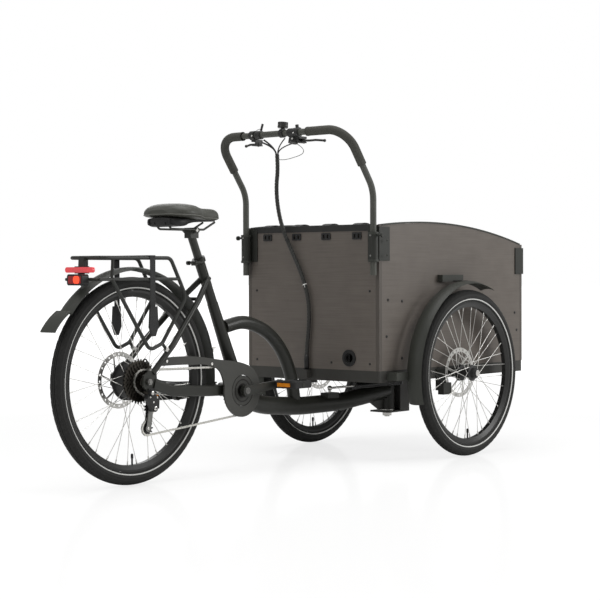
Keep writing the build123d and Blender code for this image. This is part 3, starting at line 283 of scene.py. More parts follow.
def webbing(name, colour, pitch=0.0022):
    """Woven strap: over and under threads."""
    finish = Finish(name, colour, 0.75, Sheen_Weight=0.2)
    turn = 2 * math.pi / pitch
    weave = ((finish.z + finish.x) * turn).sine() * ((finish.y + finish.x * 0.4) * turn).sine()
    # painted shade and highlight: the colour follows the weave, darker where a thread dips under and lighter
    # where it rides over
    finish.give("Base Color", finish.mix(weave * 0.5 + 0.5, tinted(colour, 0.7), tinted(colour, 1.5)))
    finish.bump(weave, 0.4, 0.0004)
    return finish.material


def foam(name, colour):
    """Dense closed-cell foam."""
    finish = Finish(name, colour, 0.82)
    worn(finish, colour, 0.82, 0.12, 22.0)
    finish.bump(finish.noise(900.0, 3.0) * 0.6 + finish.cells(700.0) * 0.4, 0.45, 0.0006)
    return finish.material


def tread_rubber(name, colour):
    """Tyre rubber with faint mould lines and road dust in the low places."""
    finish = Finish(name, colour, 0.78)
    dust = finish.contrast(finish.noise(38.0, 6.0), 0.45, 0.8)
    finish.give("Base Color", finish.mix(dust * 0.5, colour, tinted(colour, 1.9)))
    finish.give("Roughness", dust * 0.12 + 0.7)
    finish.bump(finish.noise(800.0, 3.0), 0.3, 0.0004)
    return finish.material


def two_part(name, mask, dark, light, roughness=(0.45, 0.28), metallic=(0.0, 1.0)):
    """One node of two metals: mask(finish) is 1 where the light one shows."""
    finish = Finish(name, dark)
    where = mask(finish)
    brushed = finish.noise(60.0, 4.0)
    shaded = finish.mix(brushed, tinted(light, 0.72), tinted(light, 1.12))
    finish.give("Base Color", finish.mix(where, dark, shaded))
    finish.give("Roughness", where * (roughness[1] - roughness[0]) + roughness[0] + brushed * 0.12)
    finish.give("Metallic", where * (metallic[1] - metallic[0]) + metallic[0])
    finish.bump(finish.noise(500.0, 2.0), 0.15, 0.0003)
    return finish.material


def wear(material, *nodes):
    """Puts a finish on CAD nodes."""
    for name in nodes:
        mesh = frame["nodes"][name].data
        mesh.materials.clear()
        mesh.materials.append(material)


# ---------------------------------------------------------------- mesh helpers

def piece(name, vertices, faces, material, body, smooth=True):
    """A mesh piece that rides on a body, in the row frame."""
    mesh = bpy.data.meshes.new(name)
    mesh.from_pydata([tuple(v) for v in vertices], [], faces)
    mesh.materials.append(material)
    made = bpy.data.objects.new(name, mesh)
    bpy.context.scene.collection.objects.link(made)
    check = bmesh.new()
    check.from_mesh(mesh)
    bmesh.ops.recalc_face_normals(check, faces=check.faces)
    check.to_mesh(mesh)
    check.free()
    for face in mesh.polygons:
        face.use_smooth = smooth
    if body:
        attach(made, body)
    return made


def circle(centre, across, other, radius, count):
    """A ring of points round a centre, from two directions square to each other."""
    turns = [2 * math.pi * k / count for k in range(count)]
    return [centre + (across * math.cos(t) + other * math.sin(t)) * radius for t in turns]


def frames_along(points):
    """Each point of a line with two directions square to it that don't twist."""
    across = None
    for i, point in enumerate(points):
        ahead = (points[min(i + 1, len(points) - 1)] - points[max(i - 1, 0)]).normalized()
        across = ahead.orthogonal() if across is None else across - ahead * across.dot(ahead)
        across = across.normalized()
        yield point, across, ahead.cross(across)


def squared(value, power):
    """Pulls a sine or cosine towards 1, which squares a circle's corners."""
    return math.copysign(abs(value) ** power, value)


class Shapes:
    """Collects closed shapes that become one piece."""

    def __init__(self):
        self.vertices = []
        self.faces = []

    def add(self, vertices, faces):
        start = len(self.vertices)
        self.vertices += [Vector(v) for v in vertices]
        self.faces += [tuple(start + i for i in face) for face in faces]

    def rings(self, rings, closed=False):
        """Skins a row of equal rings of points, and caps or joins its two ends."""
        count = len(rings[0])
        faces = []
        pairs = len(rings) if closed else len(rings) - 1
        for i in range(pairs):
            a, b = i * count, (i + 1) % len(rings) * count
            for k in range(count):
                n = (k + 1) % count
                faces.append((a + k, a + n, b + n, b + k))
        if not closed:
            faces.append(tuple(range(count))[::-1])
            faces.append(tuple((len(rings) - 1) * count + k for k in range(count)))
        self.add([v for ring in rings for v in ring], faces)

    def turned(self, centre, axis, profile, segments=16):
        """A solid of revolution: profile is (height, radius) along the axis from a centre."""
        axis = Vector(axis).normalized()
        across = axis.orthogonal().normalized()
        other = axis.cross(across)
        self.rings([
            circle(Vector(centre) + axis * height, across, other, max(radius, 1e-5), segments)
            for height, radius in profile
        ])

    def tube(self, points, radius, segments=10):
        """A round tube along a row of points. The radius may be one for each point."""
        points = [Vector(p) for p in points]
        radii = radius if isinstance(radius, (list, tuple)) else [radius] * len(points)
        self.rings([
            circle(point, across, other, thick, segments)
            for (point, across, other), thick in zip(frames_along(points), radii)
        ])

    def slab(self, outline, depth):
        """A plate: an outline of points pushed along a vector."""
        self.rings([[Vector(p) for p in outline], [Vector(p) + Vector(depth) for p in outline]])

    def bolts(self, places, axis, radius, height):
        """Domed socket screws, each with a washer face, a dome and a sunk socket."""
        dome = [
            (0, radius), (height * 0.4, radius), (height * 0.8, radius * 0.8), (height, radius * 0.45),
            (height * 0.45, radius * 0.38), (height * 0.4, 0),
        ]
        for place in places:
            self.turned(place, axis, dome, 12)

    def made(self, name, material, body, slot, smooth=False):
        return piece(name, self.vertices, self.faces, material, body, smooth)


def smooth_by_angle(made, degrees=35.0):
    """Smooth shading with edges kept sharp above an angle."""
    mesh = made.data
    for face in mesh.polygons:
        face.use_smooth = True
    mesh.set_sharp_from_angle(angle=math.radians(degrees))
    return made


def subdivided(made, levels=2):
    modifier = made.modifiers.new("Subdivision", "SUBSURF")
    modifier.levels = levels
    modifier.render_levels = levels
    return made


def apply_modifiers(made):
    graph = bpy.context.evaluated_depsgraph_get()
    mesh = bpy.data.meshes.new_from_object(made.evaluated_get(graph))
    made.modifiers.clear()
    made.data = mesh
    return made


def spline_points(name, points):
    """Points along the smooth curve whose control points are given."""
    curve = bpy.data.curves.new(name, "CURVE")
    curve.dimensions = "3D"
    curve.resolution_u = 24
    spline = curve.splines.new("NURBS")
    spline.points.add(len(points) - 1)
    for point, place in zip(spline.points, points):
        point.co = (*place, 1)
    spline.order_u = 3
    spline.use_endpoint_u = True
    holder = bpy.data.objects.new(name, curve)
    bpy.context.scene.collection.objects.link(holder)
    graph = bpy.context.evaluated_depsgraph_get()
    mesh = bpy.data.meshes.new_from_object(holder.evaluated_get(graph))
    found = [v.co.copy() for v in mesh.vertices]
    bpy.data.objects.remove(holder)
    bpy.data.curves.remove(curve)
    bpy.data.meshes.remove(mesh)
    return found


def spaced(points, step):
    """The same line, with points at an even distance."""
    lengths = [0.0]
    for a, b in zip(points, points[1:]):
        lengths.append(lengths[-1] + (b - a).length)
    count = max(2, round(lengths[-1] / step))
    at = np.linspace(0, lengths[-1], count + 1)
    columns = [np.interp(at, lengths, [p[i] for p in points]) for i in range(3)]
    return [Vector(p) for p in zip(*columns)]


# ---------------------------------------------------------------- sizes and colours a user may change

def length_property(name, description, default):
    return bpy.props.FloatProperty(name=name, description=description, default=default, unit="LENGTH")


class TricycleSizes(bpy.types.PropertyGroup):
    tread_depth: length_property("Tread depth", "Depth of the tyres' grooves", 0.0018)
    stripe_width: length_property("Stripe width", "Width of the pale stripe on each sidewall", 0.0042)
    wrap_pitch: length_property("Wrap pitch", "Distance between turns of the cable wrap", 0.013)
    bolt_radius: length_property("Bolt radius", "Radius of the box's bolt heads", 0.0055)
    cushion_swell: length_property("Cushion swell", "How far a cushion's cover may puff out", 0.010)


def colour_property(name, description, default):
    return bpy.props.FloatVectorProperty(
        name=name, description=description, default=default, subtype="COLOR", size=3,
        min=0.0, max=1.0,
    )


class TricycleColours(bpy.types.PropertyGroup):
    frame_paint: colour_property("Frame", "Powder coat of the frame", (0.021, 0.0215, 0.018))
    bar_paint: colour_property("Bar", "Paint of the handlebar", (0.072, 0.074, 0.064))
    board: colour_property("Board", "Face of the box's boards", (0.128, 0.112, 0.098))
    trim: colour_property("Trim", "Box trim, brackets and mudguards", (0.038, 0.040, 0.034))
    plastic: colour_property("Plastic", "Black mouldings", (0.018, 0.018, 0.018))
    guard: colour_property("Guard", "Chain guard", (0.05, 0.05, 0.045))
    rubber: colour_property("Rubber", "Tyre rubber", (0.017, 0.017, 0.016))
    stripe: colour_property("Stripe", "Pale stripe on the tyres", (0.62, 0.62, 0.6))
    steel: colour_property("Steel", "Stainless and plated steel", (0.74, 0.73, 0.70))
    vinyl: colour_property("Vinyl", "Saddle cover", (0.056, 0.057, 0.048))
    cover: colour_property("Cover", "Bench covers", (0.02, 0.02, 0.019))
    foam: colour_property("Foam", "Hand grips", (0.06, 0.06, 0.052))
    red: colour_property("Red", "Rear reflector", (0.72, 0.025, 0.03))
    amber: colour_property("Amber", "Pedal reflectors", (0.85, 0.28, 0.02))


def sizes():
    return bpy.context.scene.tricycle_sizes


def shade(name):
    return tuple(getattr(bpy.context.scene.tricycle_colours, name))


# ---------------------------------------------------------------- tyres

def tread_half(groove):
    """Half of the tyre's section as (angle from the crown, distance in, whether slots cut it)."""
    ribs = [0.0, 7.0, 8.0, 11.0, 12.0, 21.0, 22.0, 25.0, 26.0, 34.0, 43.0, 44.0, 52.0, 68.0]
    cuts = [0, 0, 1, 1, 0, 0, 1, 1, 0, 2, 2, 0.3, 0.3, 0]
    sidewall = [70.0, 72.0, 88.0, 89.5, 91.0, 108.0]
    lifts = [-0.2, 0, 0, -0.25, 0, 0]
    half = [(a, c * groove if c < 2 else 0.0, c == 2) for a, c in zip(ribs, cuts)]
    return half + [(a, l * groove, False) for a, l in zip(sidewall, lifts)]


def add_tyre(name, body, node, rubber, stripe_finish):
    low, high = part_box(node)
    centre = (low + high) / 2
    radius = (high.z - low.z) / 2
    half_width = (high.y - low.y) / 2
    core = radius - half_width
    groove = sizes().tread_depth
    half_stripe = math.degrees(sizes().stripe_width / 2 / half_width)
    first, last = STRIPE_ANGLE - half_stripe, STRIPE_ANGLE + half_stripe
    half = tread_half(groove) + [
        (first, 0.0, False), (first + 0.4, -0.0002, False), (last - 0.4, -0.0002, False),
        (last, 0.0, False), (BEAD_ANGLE, 0.0, False),
    ]
    section = [(-a, d, s) for a, d, s in half[:0:-1]] + half
    columns = 4 * (76 if radius > 0.31 else 70)

    def spot(turn, angle, thick):
        out = core + thick * math.cos(math.radians(angle))
        across = thick * math.sin(math.radians(angle))
        return centre + Vector((out * math.sin(turn), across, out * math.cos(turn)))

    rings = []
    for step in range(columns):
        turn = 2 * math.pi * step / columns
        ring = []
        for angle, depth, slotted in section:
            sunk = slotted and (step + (2 if angle > 0 else 0)) % 4 == 0
            ring.append(spot(turn, angle, half_width - depth - (groove if sunk else 0.0)))
        inside = np.linspace(BEAD_ANGLE, -BEAD_ANGLE, 15)
        rings.append(ring + [spot(turn, angle, half_width - TYRE_WALL) for angle in inside])
    shapes = Shapes()
    shapes.rings(rings, closed=True)
    tyre = smooth_by_angle(shapes.made(f"tyre_{name}", rubber, body, "tyre"), 28)
    tyre.data.materials.append(stripe_finish)
    reach, top = [core + half_width * math.cos(math.radians(angle)) for angle in (last, first)]
    for face in tyre.data.polygons:
        away = face.center - centre
        distance = math.hypot(away.x, away.z)
        skin = math.hypot(distance - core, away.y)
        if reach < distance < top and skin > half_width - 0.001:
            face.material_index = 1
    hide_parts(node)


class TRICYCLE_OT_tyres(bpy.types.Operator):
    """Makes the three tyres with their tread and pale sidewall stripe"""

    bl_idname = "tricycle.tyres"
    bl_label = "Make tyres"

    def execute(self, context):
        rubber = tread_rubber("tyre_rubber", shade("rubber"))
        stripe = Finish("tyre_stripe", shade("stripe"), 0.45)
        stripe.bump(stripe.cells(900.0), 0.3, 0.0003)
        for name, body, tyre, _ in WHEELS:
            add_tyre(name, body, tyre, rubber, stripe.material)
        return {"FINISHED"}


# ---------------------------------------------------------------- wheels

def rear_disc(finish):
    """The brake disc stands out past the hub's shell on its left side."""
    side = finish.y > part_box("hub_motor")[1].y - 0.0072
    return side * (finish.away_from(REAR_AXLE) > DISC_INNER)


def front_disc(node):
    """The brake disc is the innermost slice of a front hub."""
    low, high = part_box(node)
    inner = min(abs(low.y), abs(high.y))
    axle = (low + high) / 2

    def mask(finish):
        return (abs(finish.y) < inner + 0.0021) * (finish.away_from(axle) > DISC_INNER)

    return mask


class TRICYCLE_OT_wheels(bpy.types.Operator):
    """Finishes rims, spokes, hubs, discs and sprockets, and adds their small pieces"""

    bl_idname = "tricycle.wheels"
    bl_label = "Finish wheels"

    def execute(self, context):
        steel, plastic = shade("steel"), shade("plastic")
        wear(powder_coat("rim_anodised", (0.022, 0.022, 0.021), 0.36), *[rim for *_, rim in WHEELS])
        spokes = ("rear_spokes", "front_spokes_left", "front_spokes_right")
        wear(bare_metal("spoke_steel", steel, 0.28), *spokes)
        wear(two_part("hub_motor_shell", rear_disc, plastic, steel), "hub_motor")
        wear(bare_metal("sprocket_oxide", (0.055, 0.05, 0.043), 0.36), "rear_sprockets")
        black = moulding("cap_black", plastic, 0.5)
        bright = bare_metal("plated_steel", steel, 0.3)
        for name, body, tyre, rim in WHEELS:
            low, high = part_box(rim)
            stem = middle(tyre) - Vector((0, 0, (high.z - low.z) / 2 - 0.055))
            profile = [(-0.014, 0.0042), (-0.002, 0.0042), (0.0002, 0.0034), (0.0012, 0.0016)]
            cap = Shapes()
            cap.turned(stem, (0, 0, 1), profile, 12)
            cap.made(f"valve_cap_{name}", black, body, "plastic_black", True)
        lock = Shapes()
        face = (REAR_AXLE.x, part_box("rear_sprockets")[0].y, REAR_AXLE.z)
        profile = [(-0.0005, 0.018), (0.0014, 0.018), (0.0014, 0.0115), (0.0004, 0.0112), (0.0004, 0.0078)]
        lock.turned(face, (0, -1, 0), profile, 24)
        lock.made("freewheel_lockring", bright, "freewheel", "steel_bright")
        for side, name in SIDES:
            node = f"front_hub_{name}"
            wear(two_part(f"{node}_metal", front_disc(node), (0.03, 0.03, 0.03), steel), node)
            outer = max(side * corner.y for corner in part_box(node)) * side
            axle = middle(f"front_tyre_{name}")
            profile = [(-0.001, 0.0105), (0.0012, 0.0118), (0.0015, 0.0093), (0.0015, 0.009)]
            seal = Shapes()
            seal.turned((axle.x, outer + side * 0.0005, axle.z), (0, side, 0), profile, 24)
            seal.made(f"hub_seal_{name}", bright, f"{name}_wheel", "steel_bright")
        return {"FINISHED"}


# ---------------------------------------------------------------- chain and drive

PITCH = 0.0127


def drive_wheels():
    """Centre, pitch radius and turn of each wheel that the chain goes round."""
    def pitch_radius(teeth):
        return PITCH * teeth / (2 * math.pi)

    tension, guide = pivot("tension_pulley_spin"), pivot("guide_pulley_spin")
    return [
        (REAR_AXLE.x, REAR_AXLE.z, pitch_radius(18), -1), (CRANK.x, CRANK.z, pitch_radius(40), -1),
        (tension.x, tension.z, pitch_radius(11), -1), (guide.x, guide.z, pitch_radius(11), 1),
    ]


def chain_line():
    """Points along the chain's loop, close together."""
    wheels = drive_wheels()
    runs = []
    for i, (x1, z1, r1, turn1) in enumerate(wheels):
        x2, z2, r2, turn2 = wheels[(i + 1) % len(wheels)]
        heading = math.atan2(z2 - z1, x2 - x1)
        side = heading + math.asin((turn1 * r1 - turn2 * r2) / math.hypot(x2 - x1, z2 - z1)) - math.pi / 2
        runs.append((
            (x1 + turn1 * r1 * math.cos(side), z1 + turn1 * r1 * math.sin(side)),
            (x2 + turn2 * r2 * math.cos(side), z2 + turn2 * r2 * math.sin(side)),
        ))
    points = []
    y = pivot("tension_pulley_spin").y
    for i, (x, z, radius, turn) in enumerate(wheels):
        arrive, leave = runs[i - 1][1], runs[i][0]
        first = math.atan2(arrive[1] - z, arrive[0] - x)
        sweep = (turn * (math.atan2(leave[1] - z, leave[0] - x) - first)) % (2 * math.pi)
        steps = max(4, int(sweep * radius / 0.002))
        for k in range(steps):
            here = first + turn * sweep * k / steps
            points.append(Vector((x + radius * math.cos(here), y, z + radius * math.sin(here))))
        points.append(Vector((leave[0], y, leave[1])))
    return points + points[:1]


def link_outline(start, end, waist, lobe):
    """The figure-of-eight outline of a link's plate, in the chain's plane."""
    along = (end - start).normalized()
    across = Vector((-along.z, 0, along.x))
    outline = []
    for centre, sign in ((end, 1), (start, -1)):
        for turn in (-60, -20, 20, 60):
            angle = math.radians(turn)
            outline.append(centre + (along * math.cos(angle) + across * math.sin(angle)) * lobe * sign)
        outline.append((start + end) / 2 + across * waist * sign)
    return outline


class TRICYCLE_OT_drive(bpy.types.Operator):
    """Makes the chain link by link and finishes the cranks, derailleur and pedals"""

    bl_idname = "tricycle.drive"
    bl_label = "Make drive"

    def execute(self, context):
        black = moulding("derailleur_black", shade("plastic"), 0.42)
        self.chain()
        self.derailleur(black)
        self.cranks()
        for _, name in SIDES:
            self.pedal(name, black)
        return {"FINISHED"}

    def chain(self):
        """Links on the frame, and a run over the pulleys made as a piece of its own."""
        line = chain_line()
        length = sum((b - a).length for a, b in zip(line, line[1:]))
        links = 2 * round(length / PITCH / 2)
        pins = spaced(line, length / links)[:links]
        guide, tension = pivot("guide_pulley_spin"), pivot("tension_pulley_spin")
        fold, plate = tension.x + 0.11, 0.0005
        still, swinging = Shapes(), Shapes()
        for i, start in enumerate(pins):
            end = pins[(i + 1) % links]
            chain = swinging if start.x < fold and start.z < guide.z else still
            for side in (1, -1):
                shift = Vector((0, side * (0.00125 if i % 2 else 0.00178), 0))
                outline = [p + shift for p in link_outline(start, end, 0.0026, 0.0039)]
                chain.slab(outline, (0, side * plate, 0))
            for half, radius in ((0.0023, 0.0018), (0.0011, 0.0034)):
                chain.turned(start - Vector((0, half, 0)), (0, 1, 0), [(0, radius), (2 * half, radius)], 8)
        oiled = bare_metal("chain_steel", (0.6, 0.59, 0.55), 0.32)
        made = still.made("chain_links", oiled, "rear_frame", "chain_steel")
        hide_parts("chain")
        made = swinging.made("chain_on_pulleys", oiled, None, "chain_steel")
        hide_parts("chain")
        near, far = (tension.x + 0.026, 0, 0), (fold - PITCH, 0, 0)
        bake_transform(made)
        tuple(far)
        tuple(near)

    def derailleur(self, black):
        wear(black, "derailleur_body", "jockey_upper", "jockey_lower")
        wear(bare_metal("cage_steel", (0.2, 0.2, 0.19), 0.35), "derailleur_cage")
        bright = bare_metal("drive_bright", shade("steel"), 0.28)
        guide, tension = pivot("guide_pulley_spin"), pivot("tension_pulley_spin")
        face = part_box("derailleur_body")[0].y
        spots = ((0.018, 0.262), (0.034, 0.276), (0.004, 0.279))
        heads = Shapes()
        heads.bolts([(guide.x, face + 0.0088, guide.z)], (0, -1, 0), 0.0075, 0.004)
        heads.bolts([(REAR_AXLE.x + 0.008, face + 0.0003, 0.292)], (0, -1, 0), 0.0065, 0.0035)
        heads.bolts([(REAR_AXLE.x + x, face + 0.0062, z) for x, z in spots], (0, -1, 0), 0.0032, 0.0022)
        heads.made("derailleur_bolts", bright, "rear_frame", "steel_bright")
        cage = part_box("derailleur_cage")[0].y + 0.0008
        pulley = Shapes()
        pulley.bolts([(place.x, cage, place.z) for place in (guide, tension)], (0, -1, 0), 0.0046, 0.0022)
        pulley.made("pulley_bolts", bright, "derailleur_arm", "steel_bright")

    def cranks(self):
        """Cranks, chainring with its grooved cover, chain guard and the caps on the spindle."""
        guard = shade("guard")
        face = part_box("chainring")[0].y

        def cover_face(finish):
            from_crank = finish.away_from(CRANK)
            groove = (from_crank > 0.034) * (from_crank < 0.0385)
            return (finish.y < face + 0.0031) * (1 - groove) * (from_crank > 0.024)

        dark = (0.022, 0.021, 0.02)
        ring = two_part("chainring_metal", cover_face, dark, guard, (0.35, 0.5), (0.6, 0.0))
        wear(ring, "chainring")
        wear(powder_coat("crank_black", shade("frame_paint"), 0.38), "crank_arms")
        wear(moulding("guard_plastic", guard, 0.5, 1100.0), "chain_guard")
        profile = [(0, 11.5), (1.6, 11), (1.6, 7.8), (0.6, 7.2), (0.6, 4), (1.8, 3)]
        caps = Shapes()
        for side, _ in SIDES:
            place = (CRANK.x, side * 0.0858, CRANK.z)
            caps.turned(place, (0, side, 0), [(up * MM, radius * MM) for up, radius in profile], 20)
        metal = bare_metal("crank_cap_metal", tinted(shade("steel"), 0.22), 0.4)
        caps.made("crank_caps", metal, "crankset", "steel_bright")

    def pedal(self, name, black):
        """A pedal's amber reflectors and its studs."""
        centre = middle(f"pedal_{name}")

        def amber_end(finish):
            return (abs(finish.x - centre.x) > 0.0491) * (abs(finish.z - centre.z) < 0.0062)

        tints = (shade("plastic"), shade("amber"))
        plastic = two_part(f"pedal_{name}_plastic", amber_end, *tints, (0.6, 0.2), (0.0, 0.0))
        wear(plastic, f"pedal_{name}")
        studs = Shapes()
        for x, y, top in product((-0.042, 0.042), (-0.03, -0.01, 0.01, 0.03), (1, -1)):
            foot = centre + Vector((x, y, top * 0.0117))
            studs.turned(foot, (0, 0, top), [(0, 0.0022), (0.0014, 0.0018)], 8)
        studs.made(f"pedal_studs_{name}", black, f"{name}_pedal", "pedal_black")


# ---------------------------------------------------------------- frame, rack and lamp

class TRICYCLE_OT_frame(bpy.types.Operator):
    """Finishes the rear frame, rack, mudguard, lamp, brake and damper"""

    bl_idname = "tricycle.frame"
    bl_label = "Finish frame"

    def execute(self, context):
        paint = powder_coat("frame_paint", shade("frame_paint"), 0.36)
        wear(paint, "main_frame", "seat_clamp", "seat_lever", "rear_caliper", "front_calipers")
        wear(powder_coat("rack_paint", (0.028, 0.029, 0.026), 0.45), "rear_rack")
        steel = bare_metal("plated_steel_frame", shade("steel"), 0.3)
        wear(steel, "kingpin", "damper_rod")
        wear(bare_metal("axle_steel", tinted(shade("steel"), 0.3), 0.4), "rear_axle")
        wear(moulding("mudguard_plastic", shade("trim"), 0.5, 1300.0), "rear_fender")
        wear(moulding("lamp_housing", shade("plastic"), 0.4), "rear_lamp")
        wear(webbing("strap_weave", (0.016, 0.016, 0.016)), "rack_straps")
        wear(powder_coat("damper_paint", (0.012, 0.012, 0.012), 0.25), "damper_cylinder")
        self.rear_lights()
        self.screws(steel)
        self.weld_beads(paint)
        self.hoses()
        return {"FINISHED"}

    def rear_lights(self):
        """The bar reflector's prisms, and the round bulb in the lamp's lens below it. The prisms carry
        painted glints, each cell lighter at its middle and darker at its edge, and the bar reflector a
        painted red glow.
        """
        red = shade("red")
        lamp = middle("rear_lamp")
        glass = Finish("reflector_red", red, 0.14, Coat_Weight=0.5, Coat_Roughness=0.08)
        prisms = glass.cells(430.0)
        above = glass.z > lamp.z + 0.014
        bulb = glass.away_from(lamp + Vector((0, -0.008, 0)), "Y", "Z") < 0.0145
        lens = glass.mix(bulb, (0.30, 0.012, 0.012), (1.0, 0.09, 0.03))
        # painted glints: each prism cell lighter at its middle and darker at its edge
        painted_facet_glints = glass.mix(prisms, tinted(red, 1.2), tinted(red, 0.6))
        glow = glass.mix(bulb, (0, 0, 0), (0.8, 0.06, 0.02))
        glass.give("Base Color", glass.mix(above, lens, painted_facet_glints))
        # painted glow: the bar reflector above the lamp is given a red emission, though it is no lamp
        glass.give("Emission Color", glass.mix(above, glow, (0.38, 0.075, 0.085)))
        glass.give("Emission Strength", 0.7)
        glass.bump(prisms, 0.35, 0.0005)
        wear(glass.material, "rear_reflectors")

    def screws(self, steel):
        """Screws of the chain guard and the rack, and the clip that holds the mudguard."""
        heads = Shapes()
        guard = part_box("chain_guard")[0].y
        places = [(REAR_AXLE.x + x, guard, z) for x, z in ((0.094, 0.386), (0.30, 0.368))]
        heads.bolts(places, (0, -1, 0), 0.0052, 0.0024)
        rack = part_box("rear_rack")[1].y + 0.0002
        for side in (1, -1):
            heads.bolts([(REAR_AXLE.x + 0.078, side * rack, 0.427)], (0, side, 0), 0.006, 0.003)
            boss = (REAR_AXLE.x + 0.082, side * 0.066, 0.4225)
            heads.turned(boss, (0, side, 0), [(0, 0.0068), (0.0135, 0.0068)], 16)
        heads.made("frame_screws", steel, "rear_frame", "steel_bright", True)
        clip = Shapes()
        fold = [(-375, 402), (-372, 402), (-372, 414), (-355, 418), (-355, 420), (-375, 416)]
        clip.slab([Vector((x * MM, -0.014, z * MM)) for x, z in fold], (0, 0.028, 0))
        clip.bolts([(-0.363, -0.005, 0.4175)], (0, 0, 1), 0.004, 0.0025)
        clip.made("mudguard_clip", steel, "rear_frame", "steel_bright")

    def weld_beads(self, paint):
        """Rounded weld beads where the chain stays meet the crank's shell."""
        beads = Shapes()
        axis = Vector((0, 1, 0))
        across = axis.orthogonal().normalized()
        other = axis.cross(across)
        thick = 0.0022
        for y in (0.0368, -0.0368):
            centre = Vector((CRANK.x, y, CRANK.z))
            loops = []
            for k in range(48):
                turn = 2 * math.pi * k / 48
                wobble = 0.0215 + 0.0004 * math.sin(9 * turn)
                out = across * math.cos(turn) + other * math.sin(turn)
                loops.append(circle(centre + out * wobble, out, axis, thick, 8))
            beads.rings(loops, closed=True)
        beads.made("weld_beads", paint, "rear_frame", "frame_black", True)

    def hoses(self):
        """The rear brake's hose and the motor's lead along the left chain stay."""
        hose = Shapes()
        routes = (
            ("rear_hose", 0.0025, (
                (0.092, 0.064, 0.364), (0.120, 0.068, 0.395), (0.150, 0.078, 0.372), (0.168, 0.074, 0.318),
                (0.230, 0.062, 0.306), (0.330, 0.050, 0.304), (0.425, 0.036, 0.297),
            )),
            ("motor_lead", 0.0032, (
                (0.0, 0.088, REAR_AXLE.z), (0.030, 0.094, REAR_AXLE.z - 0.004), (0.075, 0.090, 0.318),
                (0.140, 0.080, 0.314), (0.230, 0.0665, 0.300), (0.330, 0.052, 0.298), (0.420, 0.040, 0.289),
            )),
        )
        for name, radius, route in routes:
            hose.tube(spline_points(name, [(REAR_AXLE.x + x, y, z) for x, y, z in route]), radius)
        black = moulding("hose_black", shade("plastic"), 0.4)
        hose.made("rear_hoses", black, "rear_frame", "cable", True)


# ---------------------------------------------------------------- box

